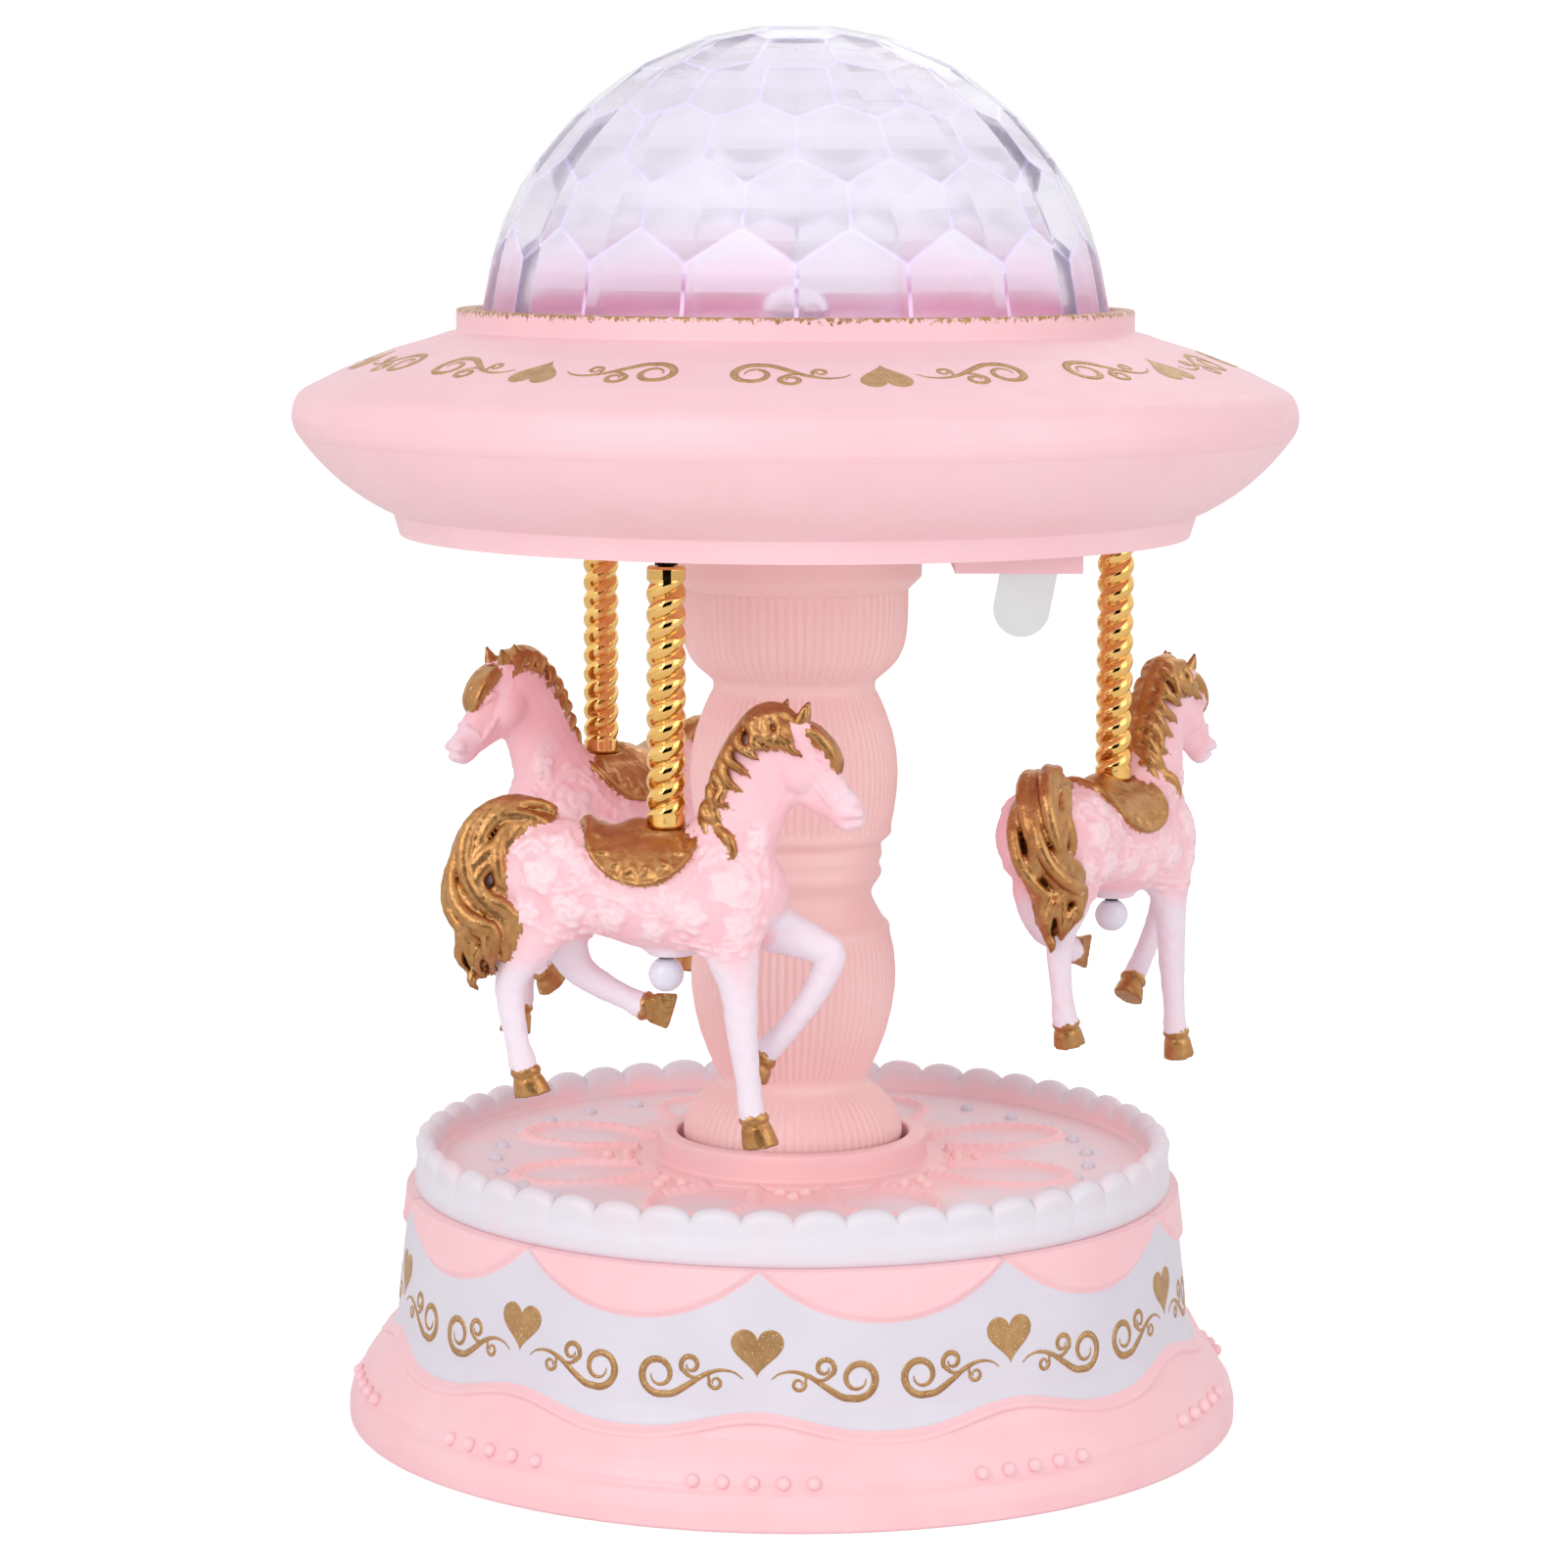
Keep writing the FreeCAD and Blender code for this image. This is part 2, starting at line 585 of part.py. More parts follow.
def base_cover():
    radius = BASE_R - BASE_WALL - COVER_EDGE_GAP
    cup_r = RECESS_R + RECESS_WALL
    cover = disc(radius, COVER_LIFT, COVER_TOP_Z).fuse(disc(cup_r, COVER_LIFT, BED_Z))
    posts = [disc(POST_R, COVER_LIFT, BED_Z, V(x, y, 0)) for x, y in POST_SPOTS]
    cover = cover.fuse(posts)
    spots = ring_spots(COVER_SCREWS, COVER_SCREW_RING_R, COVER_SCREW_DEG)
    head_z = COVER_LIFT + COVER_SCREW[1]
    cuts = [disc(RECESS_R, COVER_LIFT, RECESS_H), disc(ARBOR_R + RUN_GAP, RECESS_H, BED_Z)]
    cuts += holes(COVER_SCREW, spots, COVER_LIFT, COVER_TOP_Z)
    cuts += [disc(COVER_SCREW[0] + FIT_GAP, COVER_LIFT, head_z, spot) for spot in spots]
    bed_spots = [V(x, y, 0) for x, y in POST_SPOTS]
    cuts += holes(BED_SCREW, bed_spots, BED_TOP_Z - BED_SCREW[3], BED_Z)
    return cover.cut(cuts)


def winding_arbor():
    spring_top = BARREL_TOP_Z - BARREL_LID_T - SPRING_END_GAP
    arbor = disc(ARBOR_R, KEY_LIFT + KEY_T, spring_top)
    shoulder = disc(ARBOR_SHOULDER_R, BED_TOP_Z + SEAT_GAP, BARREL_Z - SEAT_GAP)
    return arbor.fuse(shoulder)


def winding_key():
    """A butterfly key: two rounded wings on a hub, each with a round window."""
    wing_top = RECESS_H - KEY_ROOF_GAP
    wing_r = (wing_top - KEY_LIFT) / 2
    reach = KEY_SPAN / 2 - wing_r
    middle_z = (KEY_LIFT + wing_top) / 2
    wings = block(-reach, reach, -KEY_T / 2, KEY_T / 2, KEY_LIFT, wing_top)
    windows = []
    for side in (-1, 1):
        centre = V(side * reach, -KEY_T / 2, middle_z)
        wings = wings.fuse(Part.makeCylinder(wing_r, KEY_T, centre, V(0, 1, 0)))
        windows.append(Part.makeCylinder(KEY_WINDOW_R, KEY_T, centre, V(0, 1, 0)))
    hub = disc(KEY_HUB_R, KEY_LIFT, RECESS_H - FIT_GAP)
    key = wings.cut(windows).fuse(hub)
    return key.cut(disc(ARBOR_R + SCREW_GAP, KEY_LIFT + KEY_T, RECESS_H))


def bedplate():
    slab = block(-BED_HALF_W, BED_HALF_W, -BED_REACH, 0, BED_Z, BED_TOP_Z)
    slab = slab.common(disc(BED_EDGE_R, BED_Z, BED_TOP_Z))
    cap_z = DRUM_Z + BEARING_CAP
    bearing = block(-BEARING_HALF_W, BEARING_HALF_W, INNER_BEARING_Y - BEARING_T, INNER_BEARING_Y,
                    BED_Z, cap_z)
    end_x = FAN_ARBOR_X - 2 * FAN_ARBOR_R
    end_plate = block(end_x, BEARING_HALF_W, END_PLATE_Y - END_PLATE_T, END_PLATE_Y, BED_Z, cap_z)
    post_y = DRUM_END_Y + BEARING_T + FREE_GAP
    post_x = -(DRUM_R + PIN_H + FREE_GAP)
    fan_post = block(end_x, post_x, post_y - BEARING_T, post_y, BED_Z, cap_z)
    pad = block(COMB_PAD_X, COMB_X + COMB_LENGTH, DRUM_END_Y, DRUM_Y, BED_Z, COMB_Z)
    plate = disc(BED_DISC_R, BED_Z, BED_TOP_Z).fuse([slab, bearing, end_plate, fan_post, pad])
    cuts = [disc(ARBOR_R + RUN_GAP, BED_Z, BED_TOP_Z)]
    cuts.append(rod_y(DRUM_ARBOR_R + RUN_GAP, END_PLATE_Y - END_PLATE_T, INNER_BEARING_Y, 0, DRUM_Z))
    cuts.append(rod_y(FAN_ARBOR_R + RUN_GAP, END_PLATE_Y - END_PLATE_T, post_y, FAN_ARBOR_X, DRUM_Z))
    cuts.append(disc(PIVOT_R + RUN_GAP, BED_Z, BED_TOP_Z, V(WORM_X, WORM_Y, 0)))
    cuts += holes(BED_SCREW, [V(x, y, 0) for x, y in POST_SPOTS], BED_Z, BED_TOP_Z)
    cuts += holes(COMB_SCREW, comb_screw_spots(), COMB_Z + COMB_T - COMB_SCREW[3], COMB_Z)
    cuts += holes(BRACKET_SCREW, [bracket_screw_spot()], BED_Z, BED_TOP_Z)
    return plate.cut(cuts)


def comb_screw_spots():
    x = COMB_X + COMB_LENGTH - COMB_PAD_W / 2
    return [V(x, DRUM_Y - COMB_SCREW_INSET, 0), V(x, DRUM_END_Y + COMB_SCREW_INSET, 0)]


def comb():
    plate = block(COMB_X, COMB_X + COMB_LENGTH, DRUM_END_Y, DRUM_Y, COMB_Z, COMB_Z + COMB_T)
    pitch = DRUM_LENGTH / NOTES
    cuts = []
    for i in range(1, NOTES):
        y = DRUM_END_Y + pitch * i
        cuts.append(block(COMB_X, COMB_X + COMB_TOOTH_LENGTH, y - COMB_SLOT / 2, y + COMB_SLOT / 2,
                          COMB_Z, COMB_Z + COMB_T))
    cuts += holes(COMB_SCREW, comb_screw_spots(), COMB_Z, COMB_Z + COMB_T)
    return plate.cut(cuts)


def bracket_screw_spot():
    post_x = WORM_X - FAN_R - FREE_GAP
    return V(post_x - BRACKET_POST, WORM_Y + FAN_R + 2 * BRACKET_SCREW[0], 0)


def governor_bracket():
    """A bent strip: a foot on the bedplate, a post, and an arm over the worm with its top pivot."""
    arm_z = WORM_TOP_Z + SEAT_GAP
    arm_top = arm_z + BRACKET_T
    post_x = WORM_X - FAN_R - FREE_GAP
    spot = bracket_screw_spot()
    half = BRACKET_SCREW[0] + BRACKET_T / 2
    post = block(post_x - BRACKET_POST, post_x, WORM_Y - half, WORM_Y + half, BED_TOP_Z, arm_top)
    arm = block(post_x - BRACKET_POST, WORM_X + 2 * PIVOT_R, WORM_Y - half, WORM_Y + half, arm_z, arm_top)
    foot = block(spot.x - half, post_x, WORM_Y, spot.y + half, BED_TOP_Z, BED_TOP_Z + BRACKET_T)
    bracket = post.fuse([arm, foot])
    cuts = holes(BRACKET_SCREW, [spot], BED_TOP_Z, BED_TOP_Z + BRACKET_T)
    cuts.append(disc(PIVOT_R + RUN_GAP, arm_z, arm_top, V(WORM_X, WORM_Y, 0)))
    return bracket.cut(cuts)


def spring_barrel():
    barrel = disc(BARREL_R, BARREL_Z, BARREL_TOP_Z)
    barrel = barrel.cut(disc(BARREL_R - BARREL_WALL, BARREL_Z + BARREL_FLOOR, BARREL_TOP_Z))
    barrel = barrel.cut(disc(ARBOR_R + RUN_GAP, BARREL_Z, BARREL_Z + BARREL_FLOOR))
    half = tooth_outline(CROWN_MODULE, TOOTH_SHARE, CROWN_ROOT, CROWN_MODULE)
    pitch_z = BARREL_TOP_Z + CROWN_ROOT
    side = [V(CROWN_R - CROWN_FACE / 2, -width, pitch_z + height) for height, width in half]
    other = [V(CROWN_R - CROWN_FACE / 2, width, pitch_z + height) for height, width in reversed(half)]
    outline = Part.makePolygon(side + other + side[:1])
    tooth = Part.Face(outline).extrude(V(CROWN_FACE, 0, 0)).common(disc(BARREL_R, BARREL_TOP_Z, DRUM_Z))
    teeth = []
    for i in range(CROWN_TEETH):
        copy = tooth.copy()
        copy.rotate(ORIGIN, UP, -90 + 360 / CROWN_TEETH * i)
        teeth.append(copy)
    return barrel.fuse(teeth)


def barrel_lid():
    lid = disc(BARREL_R - BARREL_WALL - SCREW_GAP, BARREL_TOP_Z - BARREL_LID_T, BARREL_TOP_Z)
    return lid.cut(hexagon(SHAFT_FLATS + 2 * SCREW_GAP, BARREL_TOP_Z - BARREL_LID_T, BARREL_TOP_Z))


def mainspring():
    """A flat strip wound in half circles that grow by half a pitch each."""
    step = SPRING_PITCH / 2
    limit = BARREL_R - BARREL_WALL - FIT_GAP - SPRING_T / 2
    rows = []
    for offset in (SPRING_T / 2, -SPRING_T / 2):
        edges = []
        for i in range(2 * SPRING_TURNS):
            radius = limit - step * (2 * SPRING_TURNS - i) + offset
            centre_x = step if i % 2 else 0.0
            side = -1 if i % 2 else 1
            points = [V(centre_x + side * radius, 0, 0), V(centre_x, side * radius, 0),
                      V(centre_x - side * radius, 0, 0)]
            edges.append(Part.Arc(*points))
        rows.append(edges)
    outer, inner = rows
    ends = [Part.LineSegment(outer[-1].EndPoint, inner[-1].EndPoint),
            Part.LineSegment(inner[0].StartPoint, outer[0].StartPoint)]
    edges = [edge.toShape() for edge in outer + ends + inner]
    face = Part.Face(Part.Wire(Part.__sortEdges__(edges)))
    z0 = BARREL_Z + BARREL_FLOOR + SPRING_END_GAP
    z1 = BARREL_TOP_Z - BARREL_LID_T - SPRING_END_GAP
    strip = face.extrude(V(0, 0, z1 - z0))
    strip.translate(V(0, 0, z0))
    return strip


def drive_shaft():
    return hexagon(SHAFT_FLATS, BARREL_TOP_Z - BARREL_LID_T, COLUMN_Z + SHAFT_GRIP)


def pin_cylinder():
    drum = rod_y(DRUM_R, DRUM_END_Y, DRUM_Y, 0, DRUM_Z)
    drum = drum.cut(rod_y(DRUM_ARBOR_R + SCREW_GAP, DRUM_END_Y, DRUM_Y, 0, DRUM_Z))
    pitch = DRUM_LENGTH / NOTES
    pins = []
    for i in range(NOTES * PINS_PER_NOTE):
        y = DRUM_END_Y + pitch * (i % NOTES + 0.5)
        angle = math.radians(PIN_STEP_DEG * i)
        outward = V(math.cos(angle), 0, math.sin(angle))
        root = V(0, y, DRUM_Z) + outward * (DRUM_R - PIN_H)
        pins.append(Part.makeCylinder(PIN_R, 2 * PIN_H, root, outward))
    return drum.fuse(pins)


def cylinder_arbor():
    """The drum's arbor with its pinion cut from the same bar."""
    arbor = rod_y(DRUM_ARBOR_R, END_PLATE_Y - END_PLATE_T, -(BARREL_R - CROWN_FACE), 0, DRUM_Z)
    leaves = gear(PINION_TEETH, CROWN_MODULE, CROWN_FACE, 90 + 180 / PINION_TEETH)
    return arbor.fuse(lay_along_y(leaves, 0, -BARREL_R, DRUM_Z))


def cylinder_gear():
    blank = gear(DRUM_GEAR_TEETH, TRAIN_MODULE, GEAR_T, 180)
    blank = blank.cut(disc(DRUM_ARBOR_R + SCREW_GAP, 0, GEAR_T))
    return lay_along_y(blank, 0, DRUM_END_Y - GEAR_T, DRUM_Z)


def governor_arbor():
    """The governor wheel's arbor with its pinion cut from the same bar."""
    post_y = DRUM_END_Y + BEARING_T + FREE_GAP
    arbor = rod_y(FAN_ARBOR_R, WORM_WHEEL_Y - WORM_WHEEL_T, post_y, FAN_ARBOR_X, DRUM_Z)
    leaves = gear(FAN_PINION_TEETH, TRAIN_MODULE, GEAR_T, 180 / FAN_PINION_TEETH)
    return arbor.fuse(lay_along_y(leaves, FAN_ARBOR_X, DRUM_END_Y - GEAR_T, DRUM_Z))


def worm_wheel():
    half_step = 180 / WORM_WHEEL_TEETH * ((WORM_TURNS + 1) % 2)
    blank = gear(WORM_WHEEL_TEETH, WORM_MODULE, WORM_WHEEL_T, 180 + half_step, WORM_SHARE)
    blank = blank.cut(disc(FAN_ARBOR_R + SCREW_GAP, 0, WORM_WHEEL_T))
    return lay_along_y(blank, FAN_ARBOR_X, WORM_WHEEL_Y - WORM_WHEEL_T, DRUM_Z)


def governor_worm():
    """A right-handed thread on a thin spindle, with a space where the wheel's tooth stands."""
    spot = V(WORM_X, WORM_Y, 0)
    root_r = WORM_R - TOOTH_ROOT * WORM_MODULE
    thread_z = DRUM_Z - WORM_LEAD * WORM_TURNS / 2
    core = disc(root_r, thread_z - WORM_LEAD / 2, WORM_TOP_Z, spot)
    spindle = disc(DRUM_ARBOR_R, BED_TOP_Z + SEAT_GAP, WORM_TOP_Z, spot)
    pivots = disc(PIVOT_R, BED_TOP_Z - PIVOT_H, WORM_TOP_Z + SEAT_GAP + BRACKET_T, spot)
    half = tooth_outline(WORM_MODULE, WORM_SHARE, THREAD_ROOT * WORM_MODULE, WORM_MODULE)
    side = [V(WORM_R + height, 0, -width) for height, width in half]
    other = [V(WORM_R + height, 0, width) for height, width in reversed(half)]
    outline = Part.makePolygon(side + other + side[:1])
    helix = Part.makeHelix(WORM_LEAD, WORM_LEAD * WORM_TURNS, WORM_R)
    thread = Part.Wire(helix).makePipeShell([outline], True, True)
    thread.translate(spot + V(0, 0, thread_z))
    return core.fuse([spindle, pivots, thread])


def governor_fan():
    spot = V(WORM_X, WORM_Y, 0)
    blade = block(WORM_X - FAN_R, WORM_X + FAN_R, WORM_Y - FAN_BLADE_T / 2, WORM_Y + FAN_BLADE_T / 2,
                  FAN_Z, FAN_Z + FAN_H)
    hub = disc(FAN_HUB_R, FAN_Z, FAN_Z + FAN_H, spot)
    return blade.fuse(hub).cut(disc(DRUM_ARBOR_R + SCREW_GAP, FAN_Z, FAN_Z + FAN_H, spot))


def column_bush():
    inner = SPIGOT_R + RUN_GAP
    outer = inner + BUSH_WALL
    bush = tube(outer, inner, STAGE_UNDER_Z - SEAT_GAP, STAGE_Z)
    return bush.fuse(tube(outer + BUSH_FLANGE, inner, STAGE_Z, COLUMN_Z))


def clip_z():
    return STAGE_UNDER_Z - 2 * SEAT_GAP - CLIP_T


def column_clip():
    return tube(CLIP_R, SPIGOT_R - CLIP_GROOVE + SCREW_GAP, clip_z(), clip_z() + CLIP_T)


def column():
    cup_mid_r = (HIGH_WAIST_R + CUP_R) / 2 + CUP_BOW
    spigot_z = COLUMN_Z - SPIGOT_H
    turned = revolve((0, COLUMN_Z), [
        (FOOT_EDGE_R, COLUMN_Z),
        ((FOOT_R, COLUMN_Z + FOOT_H * FOOT_WIDEST), (LOW_WAIST_R, LOW_WAIST_Z)),
        ((LOWER_BULGE_R, LOW_WAIST_Z + LOWER_BULGE_H / 2), (NECK_EDGE_R, NECK_Z)),
        ((NECK_R, NECK_Z + NECK_H * NECK_WAIST), (NECK_RING_R, NECK_Z + NECK_H / 2)),
        (NECK_RING_R, NECK_TOP_Z - NECK_H * NECK_TAPER),
        (NECK_EDGE_R, NECK_TOP_Z),
        ((UPPER_BULGE_R, NECK_TOP_Z + UPPER_BULGE_H / 2), (HIGH_WAIST_R, HIGH_WAIST_Z)),
        ((cup_mid_r, HIGH_WAIST_Z + CUP_CURVE_H / 2), (CUP_R, CUP_Z)),
        (CUP_R, COLUMN_TOP_Z),
        (0, COLUMN_TOP_Z)])
    turned = turned.fuse(disc(SPIGOT_R, spigot_z, COLUMN_Z))
    web_top = COLUMN_TOP_Z - FLANGE_SPIGOT_H - SEAT_GAP
    web_z = web_top - COLUMN_WEB_T
    cuts = [
        disc(COLUMN_BORE_R, COLUMN_Z + COLUMN_HUB_H, web_z),
        disc(COLUMN_BORE_R, web_top, COLUMN_TOP_Z),
        disc(COLUMN_SCREW[2] + SCREW_GAP, web_z, web_top),
        hexagon(SHAFT_FLATS + 2 * SCREW_GAP, spigot_z, COLUMN_Z + COLUMN_HUB_H),
        tube(SPIGOT_R, SPIGOT_R - CLIP_GROOVE, clip_z() - SEAT_GAP, clip_z() + CLIP_T + SEAT_GAP)]
    return turned.cut(cuts)


def flange_screw_seat():
    return COLUMN_TOP_Z - FLANGE_SPIGOT_H + COLUMN_SCREW[3] - COLUMN_WEB_T


def column_flange():
    seat = flange_screw_seat()
    spigot_r = COLUMN_BORE_R - SCREW_GAP
    flange = revolve((COLUMN_SCREW[2] + SCREW_GAP, COLUMN_TOP_Z - FLANGE_SPIGOT_H), [
        (spigot_r, COLUMN_TOP_Z - FLANGE_SPIGOT_H),
        (spigot_r, COLUMN_TOP_Z),
        (FLANGE_R - FLANGE_CHAMFER, COLUMN_TOP_Z),
        (FLANGE_R, COLUMN_TOP_Z + FLANGE_CHAMFER),
        (FLANGE_R, FLOOR_Z),
        (FLANGE_BORE_R, FLOOR_Z),
        (FLANGE_BORE_R, seat),
        (COLUMN_SCREW[2] + SCREW_GAP, seat)])
    spots = ring_spots(FLANGE_SCREWS, FLANGE_SCREW_RING_R, FLANGE_SCREW_DEG)
    return flange.cut(holes(FLANGE_SCREW, spots, FLOOR_TOP_Z - FLANGE_SCREW[3], FLOOR_Z))


def canopy_posts():
    return ring_spots(CANOPY_SCREWS, CANOPY_SCREW_RING_R, CANOPY_SCREW_DEG)


def box_sides():
    """Inner sides of the battery box: low and high X, Y and Z."""
    half = CELL_R + CELL_ROOM
    length = CELLS * CELL_T + CONTACT_GAP + 2 * CONTACT_T + CELL_ROOM
    z0 = FLOOR_Z - BOX_DROP
    return BOX_X - half, BOX_X + half, BOX_FRONT_Y, BOX_FRONT_Y + length, z0, z0 + 2 * half


def door_screw_spot():
    return V(BOX_X, box_sides()[3] + BOX_WALL + DOOR_LUG / 2, 0)


def canopy_lower():
    inner_r = LIP_TOP_R - CANOPY_WALL
    tongue_r = SEAM_R - CANOPY_WALL - FIT_GAP
    middle = ((SEAM_R + LIP_TOP_R) / 2 + LOWER_BOW, (SEAM_Z + FLOOR_Z + LIP_TOP_H) / 2 - LOWER_BOW)
    shell = revolve((FLANGE_BORE_R, FLOOR_Z), [
        (LIP_R - LIP_WALL, FLOOR_Z),
        (LIP_R - LIP_WALL, LIP_Z),
        (LIP_R, LIP_Z),
        (LIP_TOP_R, FLOOR_Z + LIP_TOP_H),
        (middle, (SEAM_R, SEAM_Z)),
        (tongue_r, SEAM_Z),
        (tongue_r, SEAM_Z + TONGUE_H),
        (tongue_r - CANOPY_WALL, SEAM_Z + TONGUE_H),
        (tongue_r - CANOPY_WALL, SEAM_Z - CANOPY_WALL / 2),
        (inner_r, FLOOR_TOP_Z),
        (FLANGE_BORE_R, FLOOR_TOP_Z)])
    x0, x1, y0, y1, z0, z1 = box_sides()
    wall = BOX_WALL
    posts = [disc(CANOPY_POST_R, FLOOR_Z, ROOT_Z - PAN_T, spot) for spot in canopy_posts()]
    box = block(x0 - wall, x1 + wall, y0 - wall, y1 + wall, z0, z1 + wall)
    door_boss = disc(DOOR_BOSS_R, z0, FLOOR_Z, door_screw_spot())
    shell = shell.fuse(posts + [box, door_boss])
    cuts = [block(x0, x1, y0, y1, z0, z1)]
    for spot in canopy_posts():
        cuts.append(disc(CANOPY_SCREW[0] + FIT_GAP, FLOOR_Z, FLOOR_Z + CANOPY_SCREW[1], spot))
    cuts += holes(CANOPY_SCREW, canopy_posts(), FLOOR_Z, ROOT_Z - PAN_T)
    flange_spots = ring_spots(FLANGE_SCREWS, FLANGE_SCREW_RING_R, FLANGE_SCREW_DEG)
    cuts += holes(FLANGE_SCREW, flange_spots, FLOOR_Z, FLOOR_TOP_Z)
    cuts += holes(DOOR_SCREW, [door_screw_spot()], z0, FLOOR_TOP_Z)
    cuts += [disc(ROD_R + SCREW_GAP, FLOOR_Z, FLOOR_TOP_Z, polar(POLE_RING_R, deg)) for deg in POLE_DEG]
    cuts.append(block(*knob_room(FLOOR_Z, FLOOR_TOP_Z)))
    return shell.cut(cuts)


def canopy_upper():
    collar_in = CAP_COLLAR_R - CAP_COLLAR_WALL
    lip_z = CAP_COLLAR_Z - CAP_LIP_T
    equator_z = FLOOR_Z + EQUATOR_H
    shoulder_z = FLOOR_Z + SHOULDER_H
    cone_z = FLOOR_Z + CONE_TOP_H
    round_r = (CANOPY_R + SHOULDER_R) / 2 + EDGE_BOW_OUT
    round_z = (equator_z + shoulder_z) / 2 + EDGE_BOW_UP
    shell = revolve((CAP_LIP_R, CAP_COLLAR_Z), [
        (CAP_COLLAR_R, CAP_COLLAR_Z),
        (CAP_COLLAR_R, cone_z + CAP_COLLAR_WALL / 2),
        (CONE_TOP_R, cone_z),
        (SHOULDER_R, shoulder_z),
        ((round_r, round_z), (CANOPY_R, equator_z)),
        (SEAM_R, SEAM_Z),
        (SEAM_R - CANOPY_WALL, SEAM_Z),
        (CANOPY_R - CANOPY_WALL, equator_z),
        (SHOULDER_R - CANOPY_WALL / 2, shoulder_z - CANOPY_WALL),
        (ROOT_R, cone_z - CANOPY_WALL - (ROOT_R - CONE_TOP_R) / 2),
        (ROOT_R, ROOT_Z),
        (collar_in, ROOT_Z),
        (collar_in, lip_z),
        (CAP_LIP_R, lip_z)])
    return shell.cut(holes(CANOPY_SCREW, canopy_posts(), ROOT_Z, canopy_screw_seat() + CANOPY_SCREW[3]))


def canopy_screw_seat():
    return FLOOR_Z + CANOPY_SCREW[1]


def facet_polygon(plane, others, reach):
    """The corners of one flat facet: a large square on its plane, trimmed by every other plane."""
    normal, distance = plane
    side = normal.cross(UP if abs(normal.z) < STEEP else V(1, 0, 0)).normalize()
    along = normal.cross(side)
    corners = [normal * distance + side * (reach * a) + along * (reach * b)
               for a, b in ((-1, -1), (1, -1), (1, 1), (-1, 1))]
    for other_normal, other_distance in others:
        kept = []
        for i, point in enumerate(corners):
            last = corners[i - 1]
            inside = other_normal.dot(point) - other_distance
            before = other_normal.dot(last) - other_distance
            if (inside <= 0) != (before <= 0):
                kept.append(last + (point - last) * (before / (before - inside)))
            if inside <= 0:
                kept.append(point)
        corners = kept
    return corners


def dome():
    """A faceted clear shell, smooth inside, with a flange that the collar's lip holds down."""
    planes = [(V(0, 0, -1), -DOME_SINK)]
    for row, (elevation, count) in enumerate(zip(FACET_DEG, FACET_COUNTS)):
        for i in range(count):
            flat = polar(math.cos(math.radians(elevation)), 360 / count * (i + row % 2 / 2))
            normal = V(flat.x, flat.y, math.sin(math.radians(elevation)))
            planes.append((normal, DOME_R - FACET_DEPTH))
    faces = []
    for i, plane in enumerate(planes):
        corners = facet_polygon(plane, planes[:i] + planes[i + 1:], 2 * DOME_R)
        faces.append(Part.Face(Part.makePolygon(corners + corners[:1])))
    shell = Part.makeShell(faces)
    shell.sewShape()
    solid = Part.makeSolid(shell)
    if solid.Volume < 0:
        solid.reverse()
    centre = V(0, 0, PAN_Z - DOME_SINK)
    solid.translate(centre)
    flange = disc(DOME_R + DOME_FLANGE_W, PAN_Z, PAN_Z + DOME_FLANGE_T)
    hollow = Part.makeSphere(DOME_R - FACET_DEPTH - DOME_WALL, centre)
    return solid.fuse(flange).cut(hollow)


def lamp_plate():
    """The pan under the dome: its floor carries the dome's flange, its rim is clamped by the screws."""
    wall_r = DOME_R + DOME_FLANGE_W
    pan = revolve((0, PAN_Z), [
        (0, PAN_Z - PAN_T),
        (wall_r - PAN_T, PAN_Z - PAN_T),
        (wall_r - PAN_T, ROOT_Z - PAN_T),
        (PAN_FLANGE_R, ROOT_Z - PAN_T),
        (PAN_FLANGE_R, ROOT_Z),
        (wall_r, ROOT_Z),
        (wall_r, PAN_Z)])
    spots = ring_spots(BOARD_SCREWS, BOARD_SCREW_RING_R)
    bosses = [disc(BOARD_BOSS_R, PAN_Z - PAN_T - BOARD_DROP, PAN_Z - PAN_T, spot) for spot in spots]
    pan = pan.fuse(bosses)
    cuts = holes(CANOPY_SCREW, canopy_posts(), ROOT_Z - PAN_T, ROOT_Z)
    board_z = PAN_Z - PAN_T - BOARD_DROP
    cuts += holes(BOARD_SCREW, spots, board_z, board_z - BOARD_T + BOARD_SCREW[3])
    cuts += [disc(LED_R + FIT_GAP, PAN_Z - PAN_T, PAN_Z, spot) for spot in ring_spots(LEDS, LED_RING_R)]
    return pan.cut(cuts)


def board_top_z():
    return PAN_Z - PAN_T - BOARD_DROP


def lamp_board():
    board = disc(BOARD_R, board_top_z() - BOARD_T, board_top_z())
    spots = ring_spots(BOARD_SCREWS, BOARD_SCREW_RING_R)
    return board.cut(holes(BOARD_SCREW, spots, board_top_z() - BOARD_T, board_top_z()))


def leds():
    top = board_top_z() + LED_H
    made = []
    for spot in ring_spots(LEDS, LED_RING_R):
        tip = Part.makeSphere(LED_R, V(spot.x, spot.y, top))
        made.append(disc(LED_R, board_top_z(), top, spot).fuse(tip))
    return Part.makeCompound(made)


def lamp_lens():
    """A round-topped clear cap over the lamp."""
    inner = LENS_R - LENS_WALL
    side = PAN_Z + LENS_H - LENS_R
    slant = math.sqrt(0.5)
    return revolve((inner, PAN_Z), [
        (LENS_R, PAN_Z),
        (LENS_R, side),
        ((LENS_R * slant, side + LENS_R * slant), (0, side + LENS_R)),
        (0, side + inner),
        ((inner * slant, side + inner * slant), (inner, side))])


